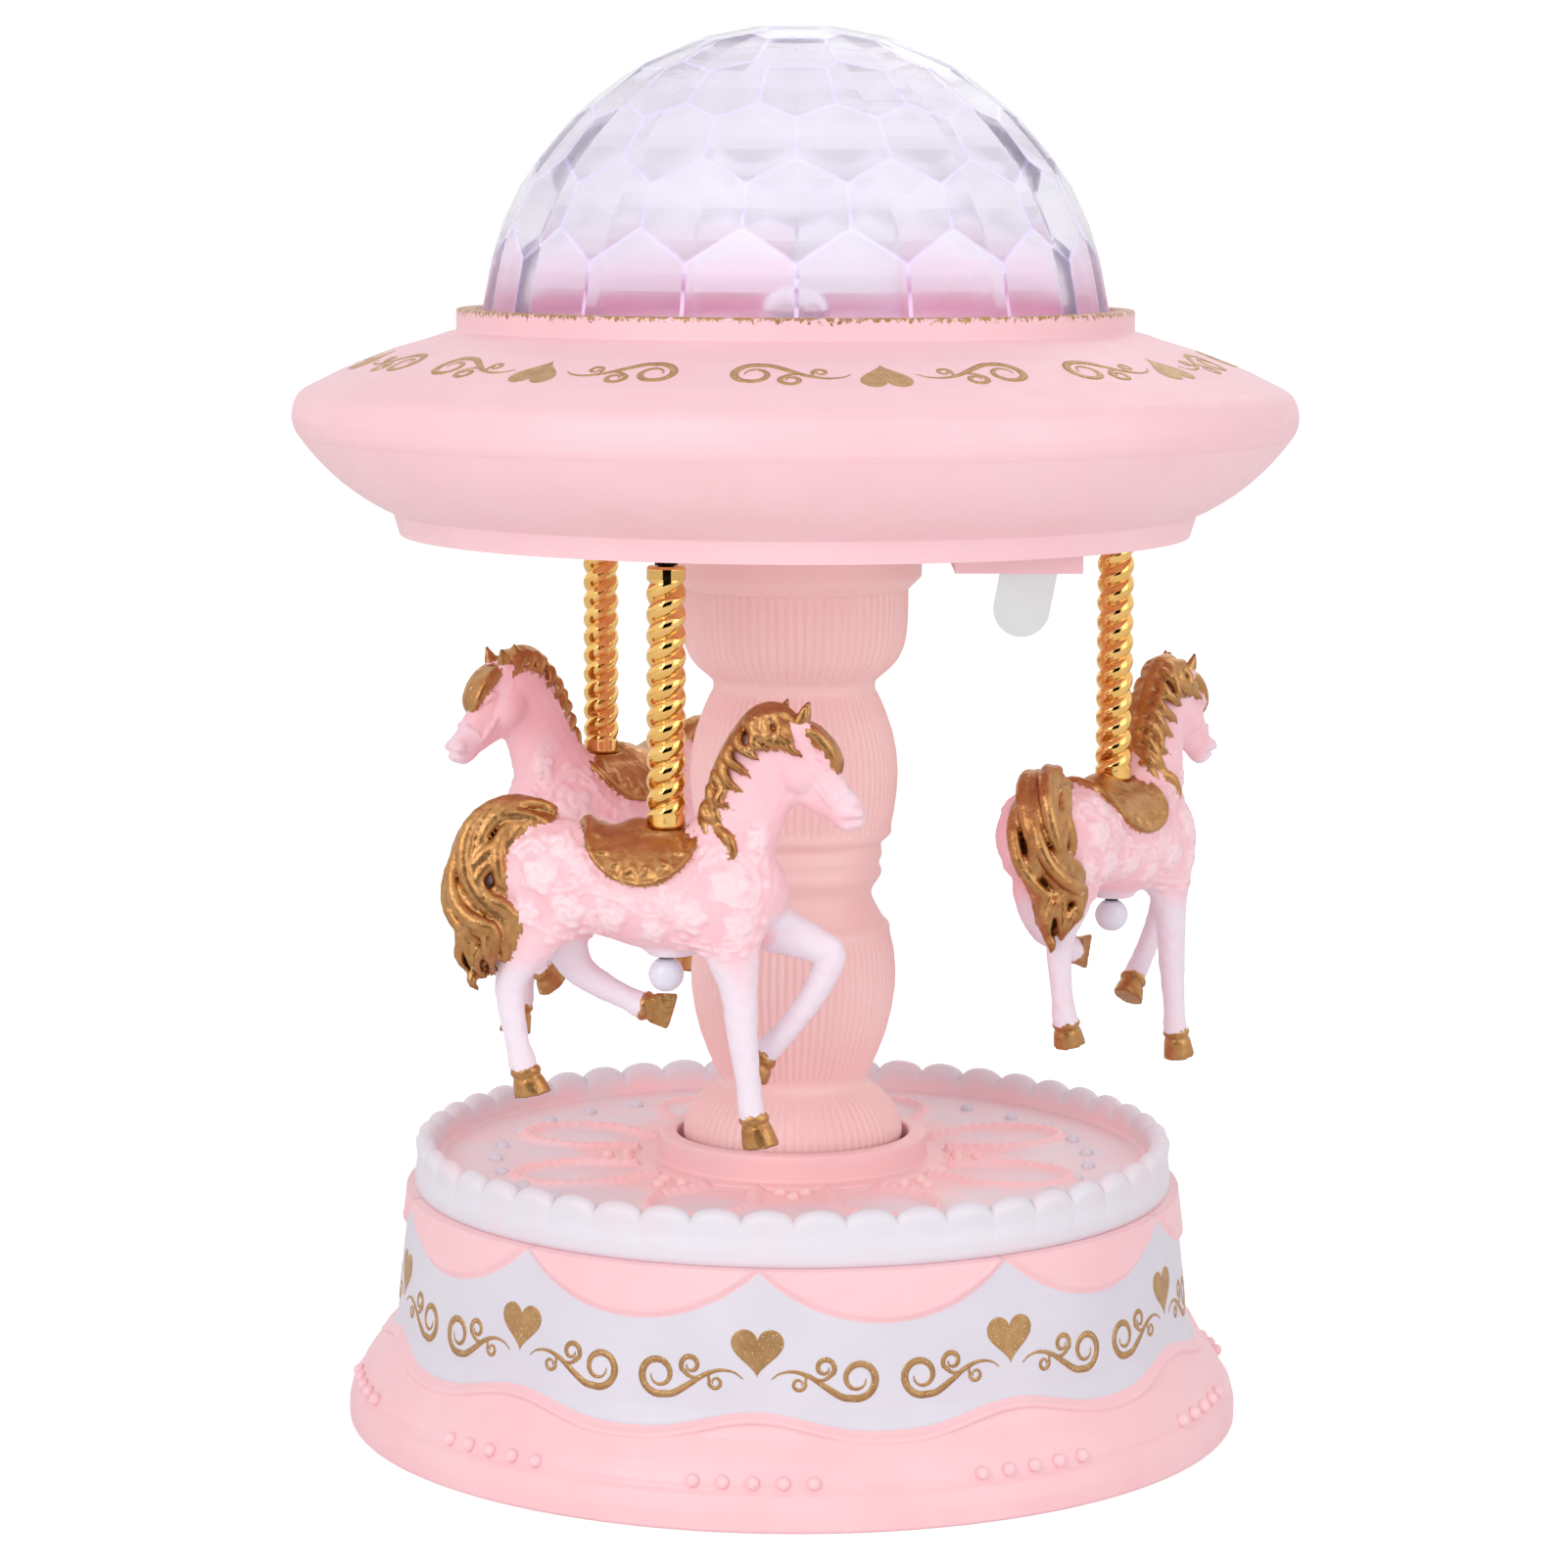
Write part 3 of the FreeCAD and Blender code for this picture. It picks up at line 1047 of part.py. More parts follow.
def lamp_wires():
    """Two wires from the roof of the battery box up and across to the underside of the board."""
    x0, x1, y0, y1, z0, z1 = box_sides()
    roof = z1 + BOX_WALL
    under = board_top_z() - BOARD_T
    made = []
    for side in (-1, 1):
        y = (y0 + y1) / 2 + side * WIRE_SPACING / 2
        bend = (under - roof) / 2
        board_x = BOARD_R / 2
        end = V(board_x, y / 2, under)
        points = [V(BOX_X, y, roof), V(BOX_X, y, roof + bend), V(end.x, end.y, roof + bend), end]
        made.append(bent_wire(points, WIRE_R, bend * WIRE_BEND_SHARE))
    return Part.makeCompound(made)


def bent_wire(points, radius, bend):
    """A round wire along straight runs joined by tangent arcs."""
    edges = []
    at = points[0]
    for i in range(1, len(points) - 1):
        back = (points[i - 1] - points[i]).normalize()
        ahead = (points[i + 1] - points[i]).normalize()
        start = points[i] + back * bend
        end = points[i] + ahead * bend
        half = math.acos(back.dot(ahead)) / 2
        centre_way = (back + ahead).normalize()
        arc_r = bend * math.tan(half)
        middle = points[i] + centre_way * (bend / math.cos(half) - arc_r)
        edges.append(Part.LineSegment(at, start).toShape())
        edges.append(Part.Arc(start, middle, end).toShape())
        at = end
    edges.append(Part.LineSegment(at, points[-1]).toShape())
    section = Part.Wire(Part.Circle(points[0], points[1] - points[0], radius).toShape())
    return Part.Wire(edges).makePipeShell([section], True, False)


def button_cells():
    x0, x1, y0, y1, z0, z1 = box_sides()
    cells = []
    for i in range(CELLS):
        y = y0 + CONTACT_T + CONTACT_GAP + CELL_T * i
        cells.append(rod_y(CELL_R, y, y + CELL_T, BOX_X, (z0 + z1) / 2))
    return Part.makeCompound(cells)


def battery_contacts():
    x0, x1, y0, y1, z0, z1 = box_sides()
    inset = CELL_ROOM
    front = block(x0 + inset, x1 - inset, y0, y0 + CONTACT_T, z0 + inset, z1 - inset)
    back = block(x0 + inset, x1 - inset, y1 - CONTACT_T, y1, z0 + inset, z1 - inset)
    return Part.makeCompound([front, back])


def tab_frame():
    """Middle of the tab in Y, the point where it crosses the door's top face, and its downward way."""
    x0, x1, y0, y1, z0, z1 = box_sides()
    lean = math.radians(TAB_LEAN_DEG)
    way = V(-math.sin(lean), 0, -math.cos(lean))
    return V(BOX_X + TAB_OFFSET, y0 + CONTACT_T + CONTACT_GAP / 2, z0), way


def tab_strip(width, thick, above, below, rounded):
    """A strip along the tab's own way, round at its free end if asked."""
    at, way = tab_frame()
    side = V(way.z, 0, -way.x)
    top = at - way * above
    low = at + way * (below - width / 2 if rounded else below)
    half = side * (width / 2)
    points = [top - half, top + half, low + half, low - half]
    edges = [Part.LineSegment(points[i], points[i + 1]).toShape() for i in (0, 1)]
    if rounded:
        edges.append(Part.Arc(points[2], low + way * (width / 2), points[3]).toShape())
    else:
        edges.append(Part.LineSegment(points[2], points[3]).toShape())
    edges.append(Part.LineSegment(points[3], points[0]).toShape())
    strip = Part.Face(Part.Wire(edges)).extrude(V(0, thick, 0))
    strip.translate(V(0, -thick / 2, 0))
    return strip


def pull_tab():
    return tab_strip(TAB_W, TAB_T, TAB_GRIP, TAB_HANG - BOX_DROP, True)


def battery_door():
    x0, x1, y0, y1, z0, z1 = box_sides()
    wall = BOX_WALL
    plate = block(x0 - wall, x1 + wall, y0 - wall, y1 + wall, z0 - DOOR_T, z0)
    spot = door_screw_spot()
    lug = block(BOX_X - DOOR_LUG / 2, BOX_X + DOOR_LUG / 2, y1, y1 + wall + DOOR_LUG, z0 - DOOR_T, z0)
    slot = tab_strip(TAB_W + 2 * TAB_SLOT_GAP, TAB_T + 2 * TAB_SLOT_GAP, DOOR_T, 2 * DOOR_T, False)
    return plate.fuse(lug).cut([slot] + holes(DOOR_SCREW, [spot], z0 - DOOR_T, z0))


def knob_room(z0, z1):
    """The room that the switch knob slides in, between two heights."""
    half_l = (KNOB_L + SWITCH_TRAVEL) / 2 + KNOB_GAP
    half_w = KNOB_W / 2 + KNOB_GAP
    return SWITCH_X - half_l, SWITCH_X + half_l, SWITCH_Y - half_w, SWITCH_Y + half_w, z0, z1


def switch_body():
    body = block(SWITCH_X - SWITCH_L / 2, SWITCH_X + SWITCH_L / 2,
                 SWITCH_Y - SWITCH_W / 2, SWITCH_Y + SWITCH_W / 2,
                 FLOOR_TOP_Z, FLOOR_TOP_Z + SWITCH_H)
    return body.cut(block(*knob_room(FLOOR_TOP_Z, FLOOR_TOP_Z + KNOB_TOP + KNOB_GAP)))


def switch_knob():
    x0 = SWITCH_X - (KNOB_L + SWITCH_TRAVEL) / 2
    return block(x0, x0 + KNOB_L, SWITCH_Y - KNOB_W / 2, SWITCH_Y + KNOB_W / 2,
                 FLOOR_Z - KNOB_DROP, FLOOR_TOP_Z + KNOB_TOP)


def pole_rod(spot):
    rod = disc(ROD_R, BEAD_Z, FLOOR_TOP_Z + NUT_H + ROD_R, spot)
    return rod.fuse(disc(ROD_COLLAR_R, SLEEVE_TOP_Z, FLOOR_Z, spot))


def pole_sleeve(spot):
    sleeve = disc(SLEEVE_R, SLEEVE_Z, SLEEVE_TOP_Z, spot)
    rings = [disc(SLEEVE_RING_R, SLEEVE_Z, SLEEVE_Z + SLEEVE_RING_H, spot),
             disc(SLEEVE_RING_R, SLEEVE_TOP_Z - SLEEVE_RING_H, SLEEVE_TOP_Z, spot)]
    return sleeve.fuse(rings).cut(disc(ROD_R + SCREW_GAP, SLEEVE_Z, SLEEVE_TOP_Z, spot))


def pole_bead(spot):
    ball = Part.makeSphere(BEAD_R, V(spot.x, spot.y, BEAD_Z))
    return ball.cut(disc(ROD_R + SCREW_GAP, BEAD_Z, BEAD_Z + BEAD_R, spot))


def pole_nuts():
    top = FLOOR_TOP_Z + NUT_H
    nuts = []
    for deg in POLE_DEG:
        spot = polar(POLE_RING_R, deg)
        nut = hexagon(NUT_FLATS, FLOOR_TOP_Z, top, spot)
        nuts.append(nut.cut(disc(ROD_R + SCREW_GAP, FLOOR_TOP_Z, top, spot)))
    return Part.makeCompound(nuts)


def limb(stations):
    """A smooth limb lofted through oval sections square to its path."""
    middles = [V(x, y, z) for x, y, z, depth, width in stations]
    wires = []
    for i, (x, y, z, depth, width) in enumerate(stations):
        way = middles[min(i + 1, len(middles) - 1)] - middles[max(i - 1, 0)]
        across = V(0, 1, 0)
        deep = way.cross(across).normalize()
        across = deep.cross(way).normalize()
        points = []
        for k in range(SECTION_POINTS):
            angle = 2 * math.pi * k / SECTION_POINTS
            point = deep * (depth * math.cos(angle)) + across * (width * math.sin(angle))
            points.append(middles[i] + point)
        curve = Part.BSplineCurve()
        curve.interpolate(points, True)
        wires.append(Part.Wire(curve.toShape()))
    return Part.makeLoft(wires, True, False)


def mirrored(stations):
    return [(x, -y, z, depth, width) for x, y, z, depth, width in stations]


def horse():
    """A horse about its pole, facing +X, with its saddle seat at height 0."""
    limbs = [NECK, HEAD, MANE, FORELOCK, TAIL, EAR, mirrored(EAR),
             HIND_RIGHT, HIND_LEFT, FORE_RIGHT, FORE_LEFT]
    body = limb(TORSO).fuse([limb(stations) for stations in limbs])
    seat = disc(SADDLE_SEAT_R, -HORSE_DEPTH / 2, 0)
    belly = disc(BELLY_SEAT_R, -HORSE_DEPTH, -HORSE_DEPTH / 2)
    body = body.fuse([seat, belly])
    sleeve_room = disc(SLEEVE_RING_R + SLEEVE_ROOM, 0, SLEEVE_L)
    return body.cut([sleeve_room, disc(ROD_R + RUN_GAP, -HORSE_DEPTH - BEAD_R, BEAD_R)])


def place_horse(shape, spot, heading):
    placed = shape.copy()
    placed.rotate(ORIGIN, UP, heading)
    placed.translate(spot + V(0, 0, HORSE_TOP_Z))
    return placed


def make_parts():
    cover_spots = ring_spots(COVER_SCREWS, COVER_SCREW_RING_R, COVER_SCREW_DEG)
    stage_spots = ring_spots(STAGE_SCREWS, STAGE_SCREW_RING_R, STAGE_SCREW_DEG)
    bed_spots = [V(x, y, 0) for x, y in POST_SPOTS]
    flange_spots = ring_spots(FLANGE_SCREWS, FLANGE_SCREW_RING_R, FLANGE_SCREW_DEG)
    board_spots = ring_spots(BOARD_SCREWS, BOARD_SCREW_RING_R)
    parts = {
        "base_shell": base_shell(),
        "stage_plate": stage_plate(),
        "base_cover": base_cover(),
        "cover_screws": screws(COVER_SCREW, cover_spots, COVER_LIFT + COVER_SCREW[1], True),
        "stage_screws": screws(STAGE_SCREW, stage_spots, BASE_H - SHELF_T, True),
        "winding_arbor": winding_arbor(),
        "winding_key": winding_key(),
        "bedplate": bedplate(),
        "bedplate_screws": screws(BED_SCREW, bed_spots, BED_TOP_Z, False),
        "comb": comb(),
        "comb_screws": screws(COMB_SCREW, comb_screw_spots(), COMB_Z + COMB_T, False),
        "governor_bracket": governor_bracket(),
        "bracket_screw": screws(BRACKET_SCREW, [bracket_screw_spot()], BED_TOP_Z + BRACKET_T, False),
        "spring_barrel": spring_barrel(),
        "barrel_lid": barrel_lid(),
        "mainspring": mainspring(),
        "drive_shaft": drive_shaft(),
        "pin_cylinder": pin_cylinder(),
        "cylinder_arbor": cylinder_arbor(),
        "cylinder_gear": cylinder_gear(),
        "governor_arbor": governor_arbor(),
        "worm_wheel": worm_wheel(),
        "governor_worm": governor_worm(),
        "governor_fan": governor_fan(),
        "column_bush": column_bush(),
        "column_clip": column_clip(),
        "column": column(),
        "column_flange": column_flange(),
        "column_screw": screws(COLUMN_SCREW, [ORIGIN], flange_screw_seat(), False),
        "flange_screws": screws(FLANGE_SCREW, flange_spots, FLOOR_TOP_Z, False),
        "canopy_lower": canopy_lower(),
        "canopy_upper": canopy_upper(),
        "canopy_screws": screws(CANOPY_SCREW, canopy_posts(), canopy_screw_seat(), True),
        "dome": dome(),
        "lamp_plate": lamp_plate(),
        "lamp_board": lamp_board(),
        "board_screws": screws(BOARD_SCREW, board_spots, board_top_z() - BOARD_T, True),
        "leds": leds(),
        "lamp_lens": lamp_lens(),
        "lamp_wires": lamp_wires(),
        "button_cells": button_cells(),
        "battery_contacts": battery_contacts(),
        "battery_door": battery_door(),
        "battery_door_screw": screws(DOOR_SCREW, [door_screw_spot()], box_sides()[4] - DOOR_T, True),
        "pull_tab": pull_tab(),
        "switch_body": switch_body(),
        "switch_knob": switch_knob(),
        "pole_nuts": pole_nuts(),
    }
    figure = horse()
    for i, deg in enumerate(POLE_DEG):
        spot = polar(POLE_RING_R, deg)
        parts["pole_rod_%d" % (i + 1)] = pole_rod(spot)
        parts["pole_sleeve_%d" % (i + 1)] = pole_sleeve(spot)
        parts["pole_bead_%d" % (i + 1)] = pole_bead(spot)
        parts["horse_%d" % (i + 1)] = place_horse(figure, spot, HORSE_HEADING_DEG[i])
    return parts


os.makedirs("parts", exist_ok=True)
for node, shape in make_parts().items():
    shape.exportStep("parts/%s.step" % node)
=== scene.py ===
import math
import bmesh
import bpy
import numpy as np
from mathutils import Matrix, Vector


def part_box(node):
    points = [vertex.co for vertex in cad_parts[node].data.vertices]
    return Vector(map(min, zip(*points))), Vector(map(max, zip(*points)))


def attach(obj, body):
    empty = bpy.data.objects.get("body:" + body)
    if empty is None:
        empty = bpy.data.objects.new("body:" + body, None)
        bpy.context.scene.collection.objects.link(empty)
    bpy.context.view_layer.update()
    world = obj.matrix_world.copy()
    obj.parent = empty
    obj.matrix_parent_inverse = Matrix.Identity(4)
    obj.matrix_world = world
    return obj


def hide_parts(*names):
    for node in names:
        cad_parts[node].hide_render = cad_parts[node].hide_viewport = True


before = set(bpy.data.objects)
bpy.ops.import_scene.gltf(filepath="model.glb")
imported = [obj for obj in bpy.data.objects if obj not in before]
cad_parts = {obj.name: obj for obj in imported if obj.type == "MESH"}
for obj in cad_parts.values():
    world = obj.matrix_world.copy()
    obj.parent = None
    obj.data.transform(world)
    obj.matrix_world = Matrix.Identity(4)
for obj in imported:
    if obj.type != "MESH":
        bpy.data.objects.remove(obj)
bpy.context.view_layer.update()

# Carousel music box. Sizes are in millimetres and become metres when a mesh is made.
# Lamps, noise scales and bump heights are in metres.
MM = 0.001
FRONT_DEG = -90.0
TURN = 2 * math.pi


def node_mm(node):
    """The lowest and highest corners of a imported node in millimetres."""
    low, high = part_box(node)
    return np.array(low) / MM, np.array(high) / MM


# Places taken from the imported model
BASE_R, _, BASE_H = node_mm("base_shell")[1]
STAGE_R, _, STAGE_TOP = node_mm("stage_plate")[1]
COLUMN_TOP = node_mm("column")[1][2]
FLANGE_R = node_mm("column_flange")[1][0]
CANOPY_R = node_mm("canopy_upper")[1][0]
POLES = [sum(node_mm("pole_sleeve_%d" % i)) / 2 for i in (1, 2, 3)]
SLEEVE_LOW, SLEEVE_TOP = [corner[2] for corner in node_mm("pole_sleeve_1")]
BEAD_LOW, BEAD_TOP = [corner[2] for corner in node_mm("pole_bead_1")]
SEAT_GAP = 0.05
SADDLE_Z = SLEEVE_LOW - SEAT_GAP
HORSE_HEADING = [54.0, 215.0, -5.0]


# Mesh helpers
def new_object(name, points, faces, materials, face_material=None, smooth=True):
    """A mesh object from points in millimetres and faces of three or four corners."""
    mesh = bpy.data.meshes.new(name)
    points = np.asarray(points, dtype=np.float64).reshape(-1, 3) * MM
    if isinstance(faces, np.ndarray):
        count, corners = faces.shape
        mesh.vertices.add(len(points))
        mesh.vertices.foreach_set("co", points.ravel())
        mesh.loops.add(count * corners)
        mesh.loops.foreach_set("vertex_index", faces.astype(np.int32).ravel())
        mesh.polygons.add(count)
        mesh.polygons.foreach_set("loop_start", np.arange(0, count * corners, corners, dtype=np.int32))
        mesh.update(calc_edges=True)
    else:
        mesh.from_pydata(points.tolist(), [], faces)
    mesh.validate()
    for material in materials:
        mesh.materials.append(material)
    if face_material is not None:
        mesh.polygons.foreach_set("material_index", np.asarray(face_material, dtype=np.int32))
    mesh.polygons.foreach_set("use_smooth", np.full(len(mesh.polygons), smooth))
    mesh.update()
    thing = bpy.data.objects.new(name, mesh)
    bpy.context.scene.collection.objects.link(thing)
    return thing


def add_values(piece, name, values):
    """Keep a value for each point of a piece, for its material."""
    attribute = piece.data.attributes.new(name, "FLOAT", "POINT")
    attribute.data.foreach_set("value", np.asarray(values, dtype=np.float32).ravel())


def grid_faces(rows, columns, wrap_rows):
    """Quads of a grid of points, joined round its columns and, if asked, its rows."""
    i, j = np.meshgrid(np.arange(rows if wrap_rows else rows - 1), np.arange(columns), indexing="ij")
    i, j = i.ravel(), j.ravel()
    up, right = (i + 1) % rows, (j + 1) % columns
    return np.stack([i * columns + j, i * columns + right, up * columns + right, up * columns + j], axis=1)


def spread(values, columns):
    """A column of values repeated round a turned piece."""
    return np.repeat(np.asarray(values)[:, None], columns, axis=1)


def turned(name, radius, height, material, first_deg=0.0, row_material=None):
    """A turned piece: radius and height are arrays of (rows, columns)."""
    rows, columns = radius.shape
    angle = np.radians(first_deg) + TURN * np.arange(columns) / columns
    points = np.stack([radius * np.cos(angle), radius * np.sin(angle), height + 0 * radius], axis=-1)
    materials = material if isinstance(material, list) else [material]
    face_material = None if row_material is None else np.repeat(row_material, columns)
    return new_object(name, points, grid_faces(rows, columns, True), materials, face_material)


def rounded(corners, step=0.5):
    """A profile of (r, z, corner radius) points with its corners rounded, sampled about evenly."""
    points = [np.array(c[:2], float) for c in corners]
    radii = [c[2] if len(c) > 2 else 0.0 for c in corners]
    path = []
    for i, point in enumerate(points):
        if radii[i] == 0 or i in (0, len(points) - 1):
            path.append(point)
            continue
        back = points[i - 1] - point
        ahead = points[i + 1] - point
        back_length, ahead_length = np.linalg.norm(back), np.linalg.norm(ahead)
        back, ahead = back / back_length, ahead / ahead_length
        half = math.acos(np.clip(back @ ahead, -1, 1)) / 2
        reach = min(radii[i] / math.tan(half), 0.48 * back_length, 0.48 * ahead_length)
        for t in np.linspace(0, 1, 7):
            start, end = point + back * reach, point + ahead * reach
            path.append((1 - t) ** 2 * start + 2 * t * (1 - t) * point + t ** 2 * end)
    dense = [path[0]]
    for b in path[1:]:
        a = dense[-1]
        if np.linalg.norm(b - a) > 0.02:
            parts = max(1, int(np.linalg.norm(b - a) / step))
            dense += [a + (b - a) * k / parts for k in range(1, parts + 1)]
    return np.array(dense)


def lathe(name, corners, material, columns=256, step=0.5):
    """A round piece turned from a closed rounded profile."""
    profile = rounded(list(corners) + [corners[0][:2]], step)[:-1]
    return turned(name, spread(profile[:, 0], columns), spread(profile[:, 1], columns), material)


def smoothstep(low, high, value):
    t = np.clip((value - low) / (high - low), 0, 1)
    return t * t * (3 - 2 * t)


def settle(piece, body, slot, *nodes):
    """Tie a finished piece to its body and hide the nodes that it stands for; slot, the name of its finish,
    is not used.
    """
    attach(piece, body)
    if nodes:
        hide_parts(*nodes)
    return piece


# Materials
def blank_material(name):
    material = bpy.data.materials.new(name)
    material.use_nodes = True
    tree = material.node_tree
    return material, tree, tree.nodes["Principled BSDF"]


def feed(tree, node, inputs):
    """Set a node's inputs to numbers or colours, or link them to outputs of other nodes."""
    for key, value in inputs.items():
        socket = node.inputs[key]
        if isinstance(value, bpy.types.NodeSocket):
            tree.links.new(value, socket)
        elif socket.type == "RGBA":
            socket.default_value = (*value, 1.0)
        else:
            socket.default_value = value


def add_node(tree, kind, output, inputs, **settings):
    """Add a shader node and give back one of its outputs."""
    node = tree.nodes.new("ShaderNode" + kind)
    for name, value in settings.items():
        setattr(node, name, value)
    feed(tree, node, inputs)
    return node.outputs[output]


def add_noise(tree, scale, detail, roughness=0.5):
    """Noise in the piece's own space, with the scale in features per metre."""
    place = add_node(tree, "TexCoord", "Object", {})
    return add_node(tree, "TexNoise", "Fac",
                    {"Vector": place, "Scale": scale, "Detail": detail, "Roughness": roughness})


def add_range(tree, value, low, high, out_low=0.0, out_high=1.0):
    return add_node(tree, "MapRange", "Result", {"Value": value, "From Min": low, "From Max": high,
                                                 "To Min": out_low, "To Max": out_high})


def add_cloud(tree, scale, detail, low=0.3, high=0.7, out_low=0.0, out_high=1.0, roughness=0.5):
    """Noise whose middle values are spread over a range."""
    return add_range(tree, add_noise(tree, scale, detail, roughness), low, high, out_low, out_high)


def add_mix(tree, factor, a, b):
    """Mix two colours, each a tuple or an output."""
    return add_node(tree, "Mix", 2, {0: factor, 6: a, 7: b}, data_type="RGBA")


def add_math(tree, operation, a, b):
    return add_node(tree, "Math", 0, {0: a, 1: b}, operation=operation)


def add_bump(tree, height, distance):
    return add_node(tree, "Bump", "Normal", {"Strength": 1.0, "Distance": distance, "Height": height})


def add_attribute(tree, name):
    return add_node(tree, "Attribute", "Fac", {}, attribute_name=name)


def painted(name, light, dark, gloss=(0.32, 0.48), patch=90, grain=2600, grain_depth=0.00002, metal=0.0):
    """A moulded or plated surface: soft colour patches, uneven gloss and fine grain."""
    material, tree, shader = blank_material(name)
    feed(tree, shader, {
        "Base Color": add_mix(tree, add_cloud(tree, patch, 4.0, 0.35, 0.65), light, dark),
        "Roughness": add_cloud(tree, patch * 6, 2.0, 0.3, 0.7, *gloss),
        "Normal": add_bump(tree, add_noise(tree, grain, 2.0), grain_depth),
        "Metallic": metal,
    })
    return material


def plated(name, light, dark, gloss, **grain):
    return painted(name, light, dark, gloss, metal=1.0, **grain)


PINK = painted("pink satin", (0.955, 0.625, 0.665), (0.945, 0.590, 0.635))
SKIRT_PINK = painted("skirt pink", (0.950, 0.600, 0.635), (0.940, 0.560, 0.600))
CORAL = painted("coral satin", (0.990, 0.680, 0.660), (0.985, 0.640, 0.625), (0.42, 0.56))
WHITE = painted("white enamel", (0.735, 0.700, 0.775), (0.705, 0.670, 0.750), (0.38, 0.50),
                grain_depth=0.000004)
COVER = painted("cover pink", (0.930, 0.570, 0.600), (0.910, 0.530, 0.570), (0.5, 0.65), grain_depth=0.00005)
STEEL = plated("zinc steel", (0.62, 0.62, 0.64), (0.50, 0.50, 0.53), (0.22, 0.42))
DARK_STEEL = plated("dark steel", (0.14, 0.12, 0.11), (0.07, 0.06, 0.06), (0.25, 0.45))
BRASS = plated("turned brass", (0.80, 0.60, 0.28), (0.70, 0.50, 0.22), (0.2, 0.4))
CAST = plated("cast metal", (0.60, 0.60, 0.62), (0.48, 0.48, 0.50), (0.4, 0.6), grain_depth=0.00006)
GOLD = plated("gold plating", (0.92, 0.58, 0.20), (0.86, 0.50, 0.15), (0.04, 0.10), patch=300,
              grain=1500, grain_depth=0.000006)
NYLON = painted("white nylon", (0.86, 0.86, 0.83), (0.82, 0.82, 0.79), (0.45, 0.6))
DARK = painted("dark plastic", (0.05, 0.05, 0.055), (0.03, 0.03, 0.035), (0.4, 0.6))
BOARD = painted("circuit board", (0.06, 0.28, 0.12), (0.04, 0.22, 0.09), (0.3, 0.5))
WIRE = painted("wire cover", (0.60, 0.06, 0.05), (0.52, 0.04, 0.04), (0.4, 0.55))
PEARL = painted("pearl lacquer", (0.80, 0.78, 0.88), (0.74, 0.73, 0.83), (0.12, 0.24))


def foil_material():
    """Printed bronze foil with glitter specks."""
    material, tree, shader = blank_material("bronze foil")
    patches = add_cloud(tree, 700, 5.0, 0.35, 0.65)
    bronze = add_mix(tree, patches, (0.52, 0.30, 0.125), (0.42, 0.225, 0.085))
    speck = add_cloud(tree, 5200, 1.0, 0.66, 0.72)
    feed(tree, shader, {
        "Base Color": add_mix(tree, speck, bronze, (0.85, 0.68, 0.42)),
        "Metallic": 0.55,
        "Roughness": 0.42,
        "Normal": add_bump(tree, add_noise(tree, 3800, 2.0), 0.00004),
    })
    return material


def clear_material(name, tint, roughness, clearness=1.0, bend=1.45, painted_glow=0.0, facets=False):
    """Clear plastic that lets the lamps light what lies behind it, with a faint violet glow that is painted
    light.
    """
    material, tree, shader = blank_material(name)
    feed(tree, shader, {
        "Base Color": tint,
        "Transmission Weight": clearness,
        "IOR": bend,
        # The violet emission is painted light standing in for light refracted through the dome.
        "Emission Color": (0.50, 0.44, 1.0),
        "Emission Strength": painted_glow,
        "Roughness": add_cloud(tree, 60, 2.0, 0.3, 0.7, roughness, roughness * 2.5),
        "Normal": add_bump(tree, add_noise(tree, 220, 2.0), 0.00003),
    })
    if facets:
        tone = add_mix(tree, add_attribute(tree, "tone"), (0.870, 0.855, 0.895), tint)
        # The blush attribute tints the lowest facets pink: a painted reflection of the pink parts below.
        blushed = add_mix(tree, add_attribute(tree, "blush"), tone, (0.970, 0.360, 0.540))
        feed(tree, shader, {"Base Color": blushed})
    shadow = add_node(tree, "LightPath", "Is Shadow Ray", {})
    through = add_node(tree, "BsdfTransparent", "BSDF", {"Color": tint})
    either = add_node(tree, "MixShader", "Shader", {0: shadow, 1: shader.outputs["BSDF"], 2: through})
    feed(tree, tree.nodes["Material Output"], {"Surface": either})
    return material


FOIL = foil_material()
CLEAR = clear_material("clear dome", (0.955, 0.945, 0.970), 0.012, 0.93, 1.22, 0.02, facets=True)
# The edges' stronger violet tint and glow are painted light for the violet refraction along the facet edges.
DOME_EDGE = clear_material("dome edges", (0.890, 0.855, 0.995), 0.03, 0.96, 1.24, 0.15)
DOME_INSIDE = clear_material("dome inside", (0.960, 0.945, 0.990), 0.13, 0.97, 1.20, 0.02)
LENS = clear_material("clear lens", (0.97, 0.97, 0.98), 0.02)
FILM = clear_material("clear film", (0.93, 0.93, 0.94), 0.18)

# Base: swags and a wave divide the wall into pink and white
SWAGS = 10
HEART_DEG = FRONT_DEG - 4.8
SWAG_TOP, SWAG_LOW = 27.9, 22.0
WAVE_PEAK, WAVE_LOW = 12.3, 10.2
RELIEF = 0.55
FOOT_R = 0.45
SKIRT_IN, SKIRT_LOW, SKIRT_TOP = 0.34, 3.9, 4.5
ROLL_H, ROLL_OUT = 1.3, 0.46
BEVEL_H, LIP_Z, LIP_OUT, LIP_SHARE = 1.1, 1.2, 0.10, 0.22
BASE_COLUMNS = 80 * SWAGS


def wall_radius(z):
    """Outside radius of the base at a height, from its flared skirt up to the rim."""
    heights = [0.0, 2.2, 3.0, 4.0, 5.0, 6.0, 7.0, 8.0, 9.0, 9.7, 11.0, 12.4, 20.0, BASE_H]
    radii = [BASE_R, BASE_R, 54.0, 53.75, 53.35, 52.85, 52.2, 51.4, 50.5, 49.9, 49.3, 48.8, 48.1, 47.1]
    return np.interp(z, heights, radii)


